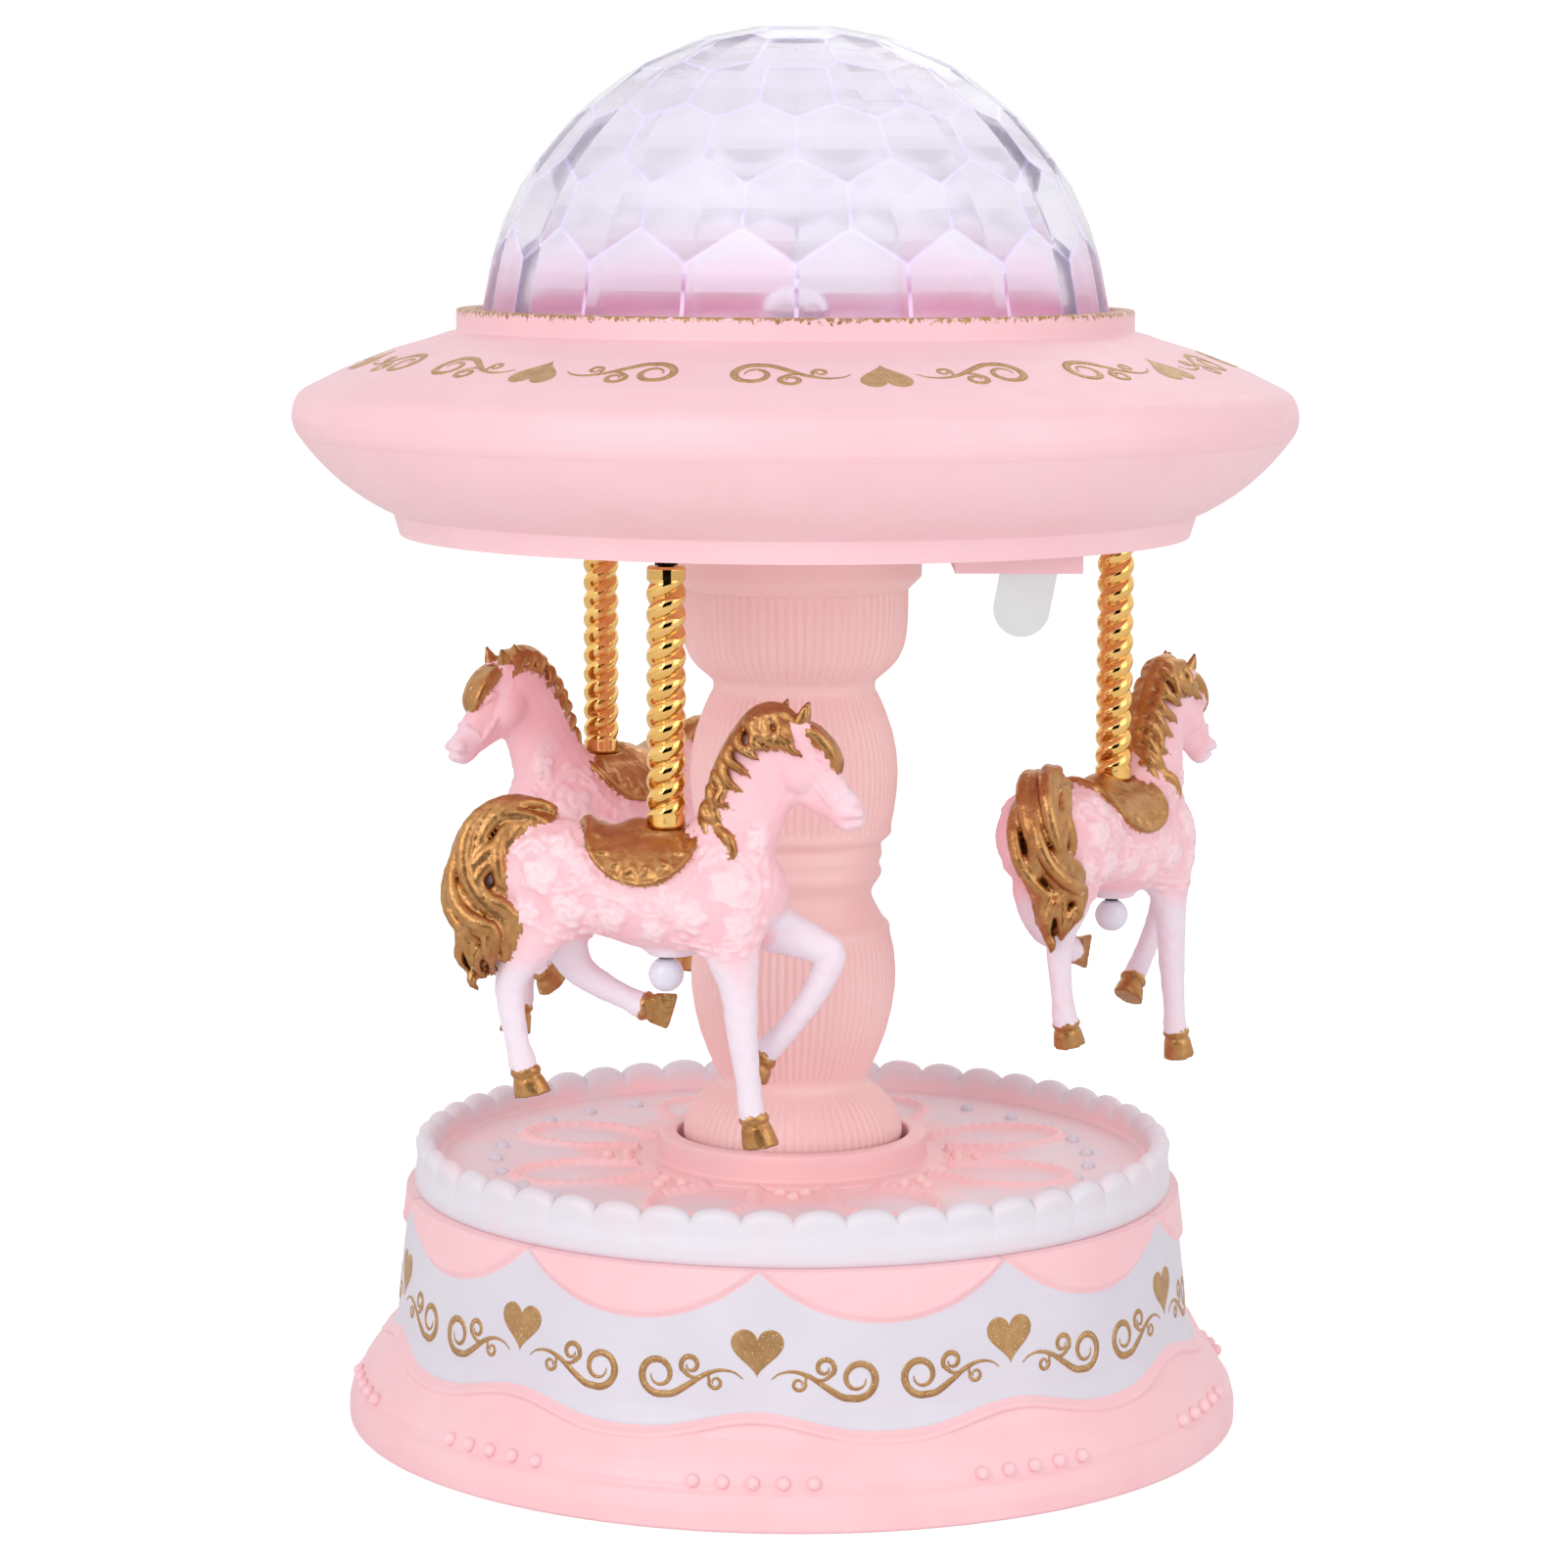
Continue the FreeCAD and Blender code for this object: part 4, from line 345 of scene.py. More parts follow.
def base_curves():
    """Heights of the wave and of the swag edge round the base, from one heart on."""
    share = np.arange(BASE_COLUMNS) / BASE_COLUMNS * SWAGS % 1.0
    from_middle = np.abs(share - 0.5) * 2
    half_width = math.pi * 47.8 / SWAGS
    depth = SWAG_TOP - SWAG_LOW
    arc_r = (half_width ** 2 + depth ** 2) / (2 * depth)
    swag = SWAG_LOW + arc_r - np.sqrt(arc_r ** 2 - (from_middle * half_width) ** 2)
    wave = WAVE_LOW + (WAVE_PEAK - WAVE_LOW) * (0.5 - 0.5 * np.cos(math.pi * from_middle)) ** 1.4
    return wave, swag


def build_base():
    wave, swag = base_curves()
    rows, radii, paint = [], [], []

    def add(height, inset, colour):
        rows.append(height)
        radii.append(wall_radius(height) - inset)
        paint.append(colour)

    everywhere = np.ones(BASE_COLUMNS)
    for turn in np.linspace(0, math.pi / 2, 6):
        add(FOOT_R * (1 - math.cos(turn)) * everywhere, FOOT_R * (1 - math.sin(turn)), 0)
    for t in np.linspace(0, 1, 44)[1:]:
        height = FOOT_R + (wave - ROLL_H - FOOT_R) * t
        groove = 0.16 * np.exp(-((height - SKIRT_TOP - 0.2) / 0.3) ** 2)
        add(height, SKIRT_IN * (1 - smoothstep(SKIRT_TOP, SKIRT_LOW, height)) + groove, 0)
    for t in np.linspace(0, 1, 10)[1:]:
        roll = ROLL_OUT * math.sin(math.pi * min(t / 0.75, 1.0))
        add(wave - ROLL_H * (1 - t), SKIRT_IN - roll + 0.16 * smoothstep(0.75, 1.0, t), 0)
    add(wave + 0.02, RELIEF, 1)
    for t in np.linspace(0, 1, 30)[1:]:
        add(wave + (swag - wave) * t, RELIEF, 1)
    for t in [*np.linspace(0, LIP_SHARE, 12)[1:], *np.linspace(LIP_SHARE, 1, 16)[1:]]:
        above = (BASE_H - swag) * t
        lip = LIP_OUT * np.exp(-((above - LIP_Z) / 0.22) ** 2) if t > LIP_SHARE else 0
        add(swag + above, RELIEF * (1 - smoothstep(0, BEVEL_H, above)) - lip, 0)
    inside = [(41.0, BASE_H), (41.0, 26.8), (45.0, 26.7), (46.8, 12.4), (47.9, 8.8), (52.2, 2.2), (52.2, 0.0)]
    for r, z in inside:
        rows.append(z * everywhere)
        radii.append(r * everywhere)
        paint.append(0)
    shell = turned("base_wall", np.array(radii), np.array(rows), [SKIRT_PINK, WHITE], HEART_DEG, paint)
    settle(shell, "base", "pink_plastic", "base_shell")


def dome_beads(name, spots, material):
    """Small half-sunk beads: spots are (point, outward way, radius)."""
    around, up, sink = 20, 7, 0.35
    turn = TURN * np.arange(around)[:, None] / around
    lift = (-sink + (math.pi / 2 + sink) * 0.98 * np.arange(up) / (up - 1))[:, None, None]
    ends = [list(range((up - 1) * around, up * around)), list(range(around))[::-1]]
    bead_faces = grid_faces(up, around, False).tolist() + ends
    points, faces = [], []
    for centre, way, radius in spots:
        way = Vector(way).normalized()
        side = way.orthogonal().normalized()
        flat = np.cos(turn) * np.array(side) + np.sin(turn) * np.array(way.cross(side))
        bead = np.array(centre) + radius * (flat * np.cos(lift) + np.array(way) * np.sin(lift))
        faces += [[len(points) + k for k in face] for face in bead_faces]
        points += bead.reshape(-1, 3).tolist()
    return new_object(name, points, faces, [material])


def build_skirt_beads():
    spots = []
    per_group, pitch, bead_r, z = 5, 3.5, 0.78, 5.5
    for group in range(SWAGS):
        for k in range(per_group):
            offset = (k - (per_group - 1) / 2) * pitch / BASE_R
            angle = math.radians(HEART_DEG) + TURN * group / SWAGS + offset
            r = float(wall_radius(z)) - 0.15
            out = (math.cos(angle), math.sin(angle), 0.35)
            spots.append(((r * out[0], r * out[1], z), out, bead_r))
    settle(dome_beads("skirt_beads", spots, PINK), "base", "pink_plastic")


# Stage: scalloped rim, petals with rope edges and small beads
SCALLOPS = 48
PETALS = 8
FLOOR_Z, COLLAR_TOP = 31.0, 34.6
PETAL_IN, PETAL_OUT, PETAL_HALF = 19.0, 33.4, 6.0
RIM_IN, RIM_TUCK, LOBE_DEPTH, LOBE_BULGE = 43.4, 0.35, 1.7, 0.40
STAGE_BORE, STAGE_LOW = 8.1, 29.4
STAGE_COLUMNS = 15 * SCALLOPS


def stage_material():
    """White enamel blushed with coral near the collar and in patches, and pinker at the foot of the rim as
    painted shade.
    """
    material, tree, shader = blank_material("stage enamel")
    patch = add_cloud(tree, 130, 4.0, 0.3, 0.7, -0.22, 0.22)
    amount = add_range(tree, add_math(tree, "ADD", add_attribute(tree, "blush"), patch), 0.0, 1.0)
    feed(tree, shader, {
        "Base Color": add_mix(tree, amount, (0.775, 0.740, 0.805), (0.990, 0.615, 0.630)),
        "Roughness": add_cloud(tree, 500, 2.0, 0.3, 0.7, 0.36, 0.50),
        "Normal": add_bump(tree, add_noise(tree, 1800, 2.0), 0.000005),
    })
    return material


def petal_relief(radius, angle):
    """Height and blush of the stage floor: rope ridges in the outline of petals."""
    step = TURN / PETALS
    local = (angle - math.radians(FRONT_DEG)) % step - step / 2
    along, across = radius * np.cos(local), radius * np.sin(local)
    centre = PETAL_OUT - PETAL_HALF
    cap = np.hypot((along - centre) * 0.72, across) - PETAL_HALF
    side = np.abs(across) - PETAL_HALF * (0.55 + 0.45 * smoothstep(PETAL_IN, centre, along))
    outline = np.where(along > centre, cap, side)
    run = np.where(along > centre, np.arctan2(across, along - centre) * PETAL_HALF, along)
    rope = 0.86 + 0.14 * np.cos(run * TURN / 1.35)
    fade = smoothstep(PETAL_IN - 1.0, PETAL_IN, along)
    ridge = np.exp(-(outline / 0.76) ** 2) * fade
    height = 0.95 * ridge * rope - 0.18 * (outline < 0) * fade * smoothstep(0, -0.8, outline)
    near = smoothstep(31.0, 19.0, radius)
    # Pinker towards the rim: painted shade where the floor meets the rim wall.
    edge = smoothstep(37.0, 42.5, radius)
    blush = np.clip(0.95 * ridge + 0.7 * near * (outline > 0) + 0.40 * near + 0.36 + 0.25 * edge, 0, 1)
    return height, blush


def build_stage():
    angle = math.radians(FRONT_DEG) + TURN * np.arange(STAGE_COLUMNS) / STAGE_COLUMNS
    share = np.arange(STAGE_COLUMNS) / STAGE_COLUMNS * SCALLOPS % 1.0
    lobe = np.abs(share - 0.5) * 2
    crest = STAGE_TOP - LOBE_DEPTH * (1 - np.sqrt(np.clip(1 - (0.97 * lobe) ** 2, 0, 1))) * 0.95
    bulge = LOBE_BULGE * (1 - lobe ** 2)
    radii, rows, blush = [], [], []

    def add(radius, height, colour):
        radii.append(radius + 0 * angle)
        rows.append(height + 0 * angle)
        blush.append(colour + 0 * angle)

    collar = [(STAGE_BORE, FLOOR_Z), (14.1, FLOOR_Z, 0.3), (14.1, COLLAR_TOP, 0.5), (16.3, COLLAR_TOP, 0.6),
              (16.5, FLOOR_Z + 0.4, 0.3), (18.4, FLOOR_Z + 0.3, 0.3), (18.8, FLOOR_Z, 0.2), (19.2, FLOOR_Z)]
    for r, z in rounded(collar, 0.4):
        add(r, z, 1.0)
    for r in np.arange(19.4, RIM_IN - 0.6, 0.3):
        lift, colour = petal_relief(r, angle)
        add(r, FLOOR_Z + lift, colour)
    # The fillet and inner wall of the rim are pinker towards the floor: painted shade in the corner.
    for t in np.linspace(0, 1, 6):
        turn = t * math.pi / 2
        add(RIM_IN - 0.6 + 0.6 * math.sin(turn), FLOOR_Z + 0.6 * (1 - math.cos(turn)), 0.65)
    wall_top = crest - 1.2
    for t in np.linspace(0, 1, 8)[1:]:
        add(RIM_IN + 0.2 * t, FLOOR_Z + 0.6 + (wall_top - FLOOR_Z - 0.6) * t, 0.70 - 0.50 * t)
    middle = (RIM_IN + 0.2 + STAGE_R) / 2
    half = (STAGE_R - RIM_IN - 0.2) / 2
    for t in np.linspace(0, 1, 14)[1:]:
        turn = math.pi * t
        out = bulge * smoothstep(0.4, 0.9, t) * 0.8
        add(middle - half * math.cos(turn) + out - RIM_TUCK * smoothstep(0.3, 0.8, t),
            wall_top + (crest - wall_top) * math.sin(turn), 0.05)
    for t in np.linspace(0, 1, 10)[1:]:
        out = bulge * (1 - smoothstep(0, 0.45, t)) * 0.8
        add(STAGE_R - RIM_TUCK + out + RIM_TUCK * smoothstep(0.2, 0.7, t),
            wall_top + (BASE_H + 0.3 - wall_top) * t, 0.0)
    under = [(STAGE_R - 0.3, BASE_H), (RIM_IN, BASE_H), (RIM_IN, STAGE_LOW), (40.9, STAGE_LOW), (40.9, 27.2),
             (39.8, 27.2), (39.8, STAGE_LOW), (STAGE_BORE, STAGE_LOW)]
    for r, z in under:
        add(r, z, 0.0)
    stage = turned("stage", np.array(radii), np.array(rows), stage_material(), FRONT_DEG)
    add_values(stage, "blush", blush)
    settle(stage, "base", "white_plastic", "stage_plate")


def build_stage_beads():
    spots = []
    up = (0, 0, 1)
    ring_beads, ring_r, bead_r = 30, 36.2, 0.85
    for i in range(ring_beads):
        angle = TURN * (i + 0.3) / ring_beads
        spots.append(((ring_r * math.cos(angle), ring_r * math.sin(angle), FLOOR_Z), up, bead_r))
    settle(dome_beads("stage_beads", spots, WHITE), "base", "white_plastic")
    spots = []
    for i in range(PETALS):
        middle = math.radians(FRONT_DEG) + TURN * i / PETALS
        for side, r in ((-1, 20.2), (1, 20.2), (0, 22.6)):
            angle = middle + side * 0.075
            spots.append(((r * math.cos(angle), r * math.sin(angle), FLOOR_Z), up, 0.8))
    settle(dome_beads("collar_beads", spots, CORAL), "base", "pink_plastic")


# Column: a fluted turned shape, plain at its rings
FLUTES, FLUTE_DEPTH = 76, 0.28
COLUMN_STEP = 0.32
PLAIN_BANDS = [(40.2, 41.8), (59.2, 71.9), (88.6, 90.0)]
COLUMN_OUTLINE = [
    (12.6, 31.7), (13.0, 32.8), (13.35, 34.2), (13.3, 35.4), (12.9, 36.7), (12.1, 38.0), (10.9, 39.3),
    (9.5, 40.3), (8.95, 40.7), (9.1, 41.0), (8.95, 41.4), (9.6, 42.6), (10.4, 44.4), (11.3, 46.8),
    (12.0, 49.6), (12.4, 52.4), (12.45, 54.6), (12.2, 57.2), (11.75, 58.9), (11.7, 60.2), (11.0, 60.7),
    (10.6, 61.4), (9.7, 63.0), (9.4, 64.0), (9.7, 64.8), (10.55, 66.0), (10.75, 66.6), (10.35, 67.4),
    (10.35, 67.8), (10.75, 68.5), (10.6, 69.6), (10.6, 70.3), (11.5, 70.8), (11.9, 71.4), (11.8, 72.2),
    (12.15, 74.0), (12.45, 76.2), (12.58, 78.6), (12.4, 81.2), (11.9, 83.6), (11.0, 86.2), (10.2, 88.0),
    (9.65, 88.9), (9.85, 89.3), (9.65, 89.7), (10.5, 90.4), (11.7, 91.4), (12.6, 92.5), (13.2, 93.8),
    (13.5, 95.2), (13.65, 96.8), (13.7, 98.5), (13.7, COLUMN_TOP)]


def build_column():
    outline_r, outline_z = np.array(COLUMN_OUTLINE).T
    z_of = np.append(np.arange(outline_z[0], COLUMN_TOP, COLUMN_STEP), COLUMN_TOP)
    r_of = np.pad(np.interp(z_of, outline_z, outline_r), 1, mode="edge")
    r_of = np.convolve(r_of, np.array([1, 2, 1]) / 4, mode="valid")
    columns = FLUTES * 6
    flute = 0.5 + 0.5 * np.cos(TURN * np.arange(columns) / columns * FLUTES)
    depth = np.full_like(z_of, FLUTE_DEPTH)
    for low, high in PLAIN_BANDS:
        depth *= 1 - smoothstep(low - 0.7, low + 0.3, z_of) * (1 - smoothstep(high - 0.3, high + 0.7, z_of))
    foot_r, foot_z = np.array([(0.3, 27.1), (6.0, 27.1), (6.0, 31.65)]).T
    top_r, top_z = np.array([(7.0, COLUMN_TOP), (7.0, 92.0), (0.3, 92.0)]).T
    fluted = r_of[:, None] - depth[:, None] * flute ** 2.2
    radii = np.vstack([spread(foot_r, columns), fluted, spread(top_r, columns)])
    heights = spread(np.concatenate([foot_z, z_of, top_z]), columns)
    settle(turned("fluted_column", radii, heights, CORAL), "carousel", "coral_plastic", "column")
    ring = [(7.0, 95.9), (7.0, COLUMN_TOP), (13.75, COLUMN_TOP, 0.1), (FLANGE_R, 102.4, 0.6),
            (FLANGE_R, 105.4, 0.5), (FLANGE_R - 0.6, 106.2, 0.4), (FLANGE_R - 0.6, 109.0),
            (5.0, 109.0), (5.0, 98.9), (1.44, 98.9), (1.44, 95.9)]
    settle(lathe("column_ring", ring, CORAL), "carousel", "coral_plastic", "column_flange")


# Canopy
GOLD_Z, GOLD_FADE = 134.0, 0.15


def canopy_material():
    """Pink satin with rubbed gold paint on the collar's edge."""
    material, tree, shader = blank_material("canopy pink")
    patches = add_cloud(tree, 60, 4.0, 0.35, 0.65)
    pink = add_mix(tree, patches, (0.945, 0.600, 0.650), (0.935, 0.570, 0.620))
    height = add_node(tree, "SeparateXYZ", "Z", {"Vector": add_node(tree, "TexCoord", "Object", {})})
    ragged = add_cloud(tree, 1500, 5.0, 0.3, 0.7, -0.0007, 0.0007, roughness=0.7)
    height = add_math(tree, "ADD", height, ragged)
    gold = add_range(tree, height, (GOLD_Z - GOLD_FADE) * MM, (GOLD_Z + GOLD_FADE) * MM)
    gold = add_math(tree, "MULTIPLY", gold, add_cloud(tree, 420, 4.0, 0.25, 0.42))
    feed(tree, shader, {
        "Base Color": add_mix(tree, gold, pink, (0.42, 0.22, 0.075)),
        "Metallic": add_range(tree, gold, 0.0, 1.0, 0.0, 0.6),
        "Roughness": add_cloud(tree, 480, 2.0, 0.3, 0.7, 0.36, 0.50),
        "Normal": add_bump(tree, add_noise(tree, 2400, 2.0), 0.00002),
    })
    return material


CONE = [(42.0, 131.3), (44.1, 130.6), (47.2, 129.7), (50.8, 128.3), (54.2, 127.0), (57.0, 125.6),
        (58.4, 124.9), (59.3, 124.2), (59.85, 122.9), (CANOPY_R, 121.5), (59.7, 120.2)]


def build_canopy():
    paint = canopy_material()
    upper = [(38.1, 134.3, 0.2), (40.4, 134.3, 0.35), (40.4, 131.75, 0.3)] + [(r, z, 2.5) for r, z in CONE]
    upper += [(59.2, 119.4, 0.08), (57.4, 119.4), (58.0, 121.5), (56.0, 123.8), (44.5, 128.2), (44.5, 127.0),
              (39.2, 127.0), (39.2, 132.8), (38.1, 132.8)]
    settle(lathe("canopy_top", upper, paint, 384, 0.6), "carousel", "pink_plastic", "canopy_upper")


# Dome: flat facets cut by planes, with softened edges
FACET_ROWS = [(11.0, 18, 0), (25.5, 18, 1), (39.5, 18, 0), (52.5, 18, 1), (65.0, 12, 0), (77.5, 6, 1),
              (90.0, 1, 0)]
DOME_R, DOME_CENTRE, FACET_DISTANCE = 37.5, 130.5, 37.0
DOME_LIFT, DOME_INNER_R, INSIDE_LEVELS = 0.4, 34.8, 28
EDGE_W = 0.26
# Height and slope of the facets that carry the painted pink reflection
REFLECTION_H, REFLECTION_RISE = 15.0, 0.35
SMOOTH_AREA = 3.0


def clip_polygon(corners, normal, distance):
    """What is left of a polygon behind a plane."""
    kept = []
    for i, point in enumerate(corners):
        last = corners[i - 1]
        inside, before = normal @ point - distance, normal @ last - distance
        if (inside <= 0) != (before <= 0):
            kept.append(last + (point - last) * (before / (before - inside)))
        if inside <= 0:
            kept.append(point)
    return kept


def on_ball(radius, lift, turn):
    flat = radius * math.cos(lift)
    return np.array([flat * math.cos(turn), flat * math.sin(turn), radius * math.sin(lift)])


def dome_facets():
    """Corners of each facet, cut out of its plane by the planes of all the others."""
    planes = [(np.array([0, 0, -1.0]), -DOME_LIFT)]
    for elevation, count, turned_half in FACET_ROWS:
        for i in range(count):
            turn = TURN * (i + turned_half / 2) / count
            planes.append((on_ball(1.0, math.radians(elevation), turn), FACET_DISTANCE))
    facets = []
    reach = 2 * DOME_R
    for i, (normal, distance) in enumerate(planes[1:], 1):
        side = np.cross(normal, [0, 0, 1] if abs(normal[2]) < 0.9 else [1, 0, 0])
        side /= np.linalg.norm(side)
        other = np.cross(normal, side)
        corners = [normal * distance + side * a * reach + other * b * reach
                   for a, b in ((-1, -1), (1, -1), (1, 1), (-1, 1))]
        for k, plane in enumerate(planes):
            if k != i:
                corners = clip_polygon(corners, *plane)
        facets.append(corners)
    return facets


def paint_facets(work):
    """Give each facet its own tone, and the lowest ones a painted reflection of the pink below, kept in the
    blush attribute.
    """
    tone = work.verts.layers.float.new("tone")
    blush = work.verts.layers.float.new("blush")
    draw = np.random.default_rng(11)
    for face in work.faces:
        if face.material_index == 0:
            face_tone, chance = draw.uniform(0.1, 1.0, 2)
            face_reflection = 1.0 if chance > 0.5 else 0.25
            for v in face.verts:
                v[tone] = face_tone
                lift = (v.co.z / MM - DOME_CENTRE) / REFLECTION_H
                v[blush] = face_reflection * max(0.0, 1.0 - lift) if face.normal.z < REFLECTION_RISE else 0.0


def close_inside(work):
    """Close the facets with a flat lower edge and a round inside wall."""
    rim = [v for v in work.verts if any(e.is_boundary for e in v.link_edges)]
    rim.sort(key=lambda v: math.atan2(v.co.y, v.co.x))
    turns = [math.atan2(v.co.y, v.co.x) for v in rim]
    chain = [rim, [work.verts.new((v.co.x, v.co.y, (DOME_CENTRE + DOME_LIFT) * MM)) for v in rim]]
    centre = np.array([0, 0, DOME_CENTRE])
    low = math.radians(1.0)
    for level in range(INSIDE_LEVELS):
        lift = low + (math.pi / 2 - low) * level / INSIDE_LEVELS
        chain.append([work.verts.new((centre + on_ball(DOME_INNER_R, lift, turn)) * MM) for turn in turns])
    top = work.verts.new((0, 0, (DOME_CENTRE + DOME_INNER_R) * MM))
    for i in range(len(rim)):
        k = (i + 1) % len(rim)
        for a, b in zip(chain[:-1], chain[1:]):
            work.faces.new((a[i], b[i], b[k], a[k])).material_index = 2
        work.faces.new((chain[-1][i], top, chain[-1][k])).material_index = 2


def build_dome():
    points, faces = [], []
    for corners in dome_facets():
        faces.append(list(range(len(points), len(points) + len(corners))))
        points += corners
    dome = new_object("dome_shell", np.array(points) + [0, 0, DOME_CENTRE], faces,
                      [CLEAR, DOME_EDGE, DOME_INSIDE], smooth=False)
    work = bmesh.new()
    work.from_mesh(dome.data)
    bmesh.ops.remove_doubles(work, verts=work.verts, dist=0.02 * MM)
    bmesh.ops.recalc_face_normals(work, faces=work.faces)
    edges = [e for e in work.edges if len(e.link_faces) == 2]
    bmesh.ops.bevel(work, geom=edges, offset=EDGE_W * MM, segments=3, profile=0.6, affect="EDGES", material=1)
    paint_facets(work)
    close_inside(work)
    for face in work.faces:
        face.smooth = face.calc_area() < SMOOTH_AREA * MM ** 2
    bmesh.ops.recalc_face_normals(work, faces=work.faces)
    work.to_mesh(dome.data)
    work.free()
    settle(dome, "carousel", "clear_plastic", "dome")


# Poles: twisted sleeves, dark rods and pearl beads
ROPE_R, ROPE_OUT, ROPE_LEAD, ROPE_STARTS = 1.62, 0.62, 4.7, 2
RING_R, RING_H = 2.2, 1.7
ROD_R, SPLINE_R, SPLINES = 0.8, 1.3, 14
CANOPY_SEAT, ROD_TOP = 109.0, 113.0
PEARL_R = 2.0


def sleeve_shape():
    """Radii and heights of a twisted sleeve with a plain ring at each end and a faint seam."""
    around = 64
    heights = np.arange(SLEEVE_LOW, SLEEVE_TOP + 0.01, 0.11)
    angle = TURN * np.arange(around) / around
    twist = (angle - TURN * heights[:, None] / ROPE_LEAD) * ROPE_STARTS / 2
    rope = ROPE_R + ROPE_OUT * np.abs(np.cos(twist)) ** 0.62
    edge = np.minimum(heights - SLEEVE_LOW, SLEEVE_TOP - heights)[:, None]
    ring = smoothstep(RING_H + 0.15, RING_H - 0.15, edge)
    corner = 0.18 * smoothstep(0.3, 0.0, edge)
    seam = 0.07 * np.exp(-((angle - math.radians(265)) / 0.035) ** 2)
    radius = rope * (1 - ring) + (RING_R - corner) * ring + seam
    closing = np.full((1, around), 0.9)
    heights = np.concatenate([[SLEEVE_LOW], heights, [SLEEVE_TOP]])
    return np.vstack([closing, radius, closing]), spread(heights, around)


def rod_shape():
    """Radii and heights of a rod that is splined above its sleeve."""
    around = 84
    profile = [(ROD_R, BEAD_LOW + 1.9), (ROD_R, SLEEVE_LOW - 0.6), (ROD_R, SLEEVE_LOW - 0.55),
               (ROD_R, SLEEVE_LOW), (ROD_R, SLEEVE_TOP), (SPLINE_R, SLEEVE_TOP + 0.05),
               (SPLINE_R, CANOPY_SEAT - 0.1), (ROD_R, CANOPY_SEAT), (ROD_R, ROD_TOP)]
    radii, heights = np.array(profile).T
    tooth = 1 - 0.12 * (0.5 + 0.5 * np.cos(TURN * np.arange(around) / around * SPLINES))
    return radii[:, None] * np.where(radii[:, None] > ROD_R, tooth, 1.0), spread(heights, around)


def pearl_shape():
    """Radii and heights of a pearl bead with a faint seam."""
    lift = np.linspace(-0.5, 0.5, 33) * math.pi * 0.985
    ball = PEARL_R * np.cos(lift) + 0.05 * np.exp(-(lift / 0.04) ** 2)
    return spread(ball, 48), spread((BEAD_LOW + BEAD_TOP) / 2 + PEARL_R * np.sin(lift), 48)


def build_poles():
    kinds = [("twisted_sleeve", sleeve_shape(), GOLD, "gold_plated", "pole_sleeve"),
             ("splined_rod", rod_shape(), DARK_STEEL, "dark_steel", "pole_rod"),
             ("pearl_bead", pearl_shape(), PEARL, "pearl", "pole_bead")]
    for i, pole in enumerate(POLES, 1):
        for name, shape, material, slot, node in kinds:
            piece = turned("%s_%d" % (name, i), *shape, material)
            piece.data.transform(Matrix.Translation((pole[0] * MM, pole[1] * MM, 0)))
            settle(piece, "carousel", slot, "%s_%d" % (node, i))


# Foil prints: a heart with a scroll on each side
HEARTS_ON_CANOPY = 8
CANOPY_HEART_DEG = FRONT_DEG + 10.9
FOIL_LIFT, FOIL_SINK = 0.05, 0.04
HEART_RINGS = (1.0, 0.94, 0.75, 0.5, 0.25)


def spiral(centre, start_r, end_r, start_deg, turns, count=26):
    """Points of a curl that winds in from its start radius."""
    t = np.linspace(0, 1, count)
    r = start_r + (end_r - start_r) * t
    angle = np.radians(start_deg) + TURN * turns * t
    return np.stack([centre[0] + r * np.cos(angle), centre[1] + r * np.sin(angle)], axis=1)


def curve_through(points, count=40):
    """A smooth curve through given points."""
    points = np.array(points, float)
    padded = np.vstack([2 * points[0] - points[1], points, 2 * points[-1] - points[-2]])
    out = []
    spans = len(points) - 1
    for t in np.linspace(0, spans - 1e-6, count):
        i = int(t)
        f = t - i
        a, b, c, d = padded[i:i + 4]
        out.append(0.5 * (2 * b + (c - a) * f + (2 * a - 5 * b + 4 * c - d) * f ** 2
                          + (3 * b - a - 3 * c + d) * f ** 3))
    return np.array(out)


def ribbon(path, widths):
    """Both edges of a flat stroke along a path whose half width is interpolated along it."""
    way = np.gradient(path, axis=0)
    way /= np.linalg.norm(way, axis=1)[:, None] + 1e-9
    across = np.stack([-way[:, 1], way[:, 0]], axis=1)
    t = np.linspace(0, 1, len(path))
    half = np.interp(t, np.linspace(0, 1, len(widths)), widths)[:, None]
    return path + across * half, path - across * half


def scroll_strokes():
    """Strokes of the right-hand scroll, from the heart outwards, as (path, half widths)."""
    stem = curve_through([(1.6, -2.9), (2.6, -2.2), (4.2, -2.0), (6.0, -2.6), (7.8, -3.8), (9.6, -4.9),
                          (11.0, -5.1)], 44)
    curl = spiral((11.4, -2.9), 2.25, 0.85, -100, 1.28, 40)
    upper = np.vstack([curve_through([(6.4, -2.9), (7.6, -2.9), (8.5, -2.2)], 12),
                       spiral((7.6, -1.6), 1.15, 0.45, -28, 1.1, 24)])
    lower = np.vstack([curve_through([(5.0, -2.2), (5.5, -2.7), (5.4, -3.3)], 8),
                       spiral((4.7, -3.4), 0.78, 0.32, 5, -1.1, 22)])
    main = np.vstack([stem, curl])
    return [(main, [0.05, 0.14, 0.26, 0.36, 0.40, 0.42, 0.36, 0.22, 0.05]),
            (upper, [0.10, 0.26, 0.30, 0.24, 0.06]),
            (lower, [0.08, 0.20, 0.22, 0.16, 0.05])]


def heart_outline(width, height, count=44):
    t = np.linspace(0, TURN, count, endpoint=False)
    x = 16 * np.sin(t) ** 3
    y = 13 * np.cos(t) - 5 * np.cos(2 * t) - 2 * np.cos(3 * t) - np.cos(4 * t)
    return np.stack([x / 32 * width, (y + 2.5) / 29 * height], axis=1)


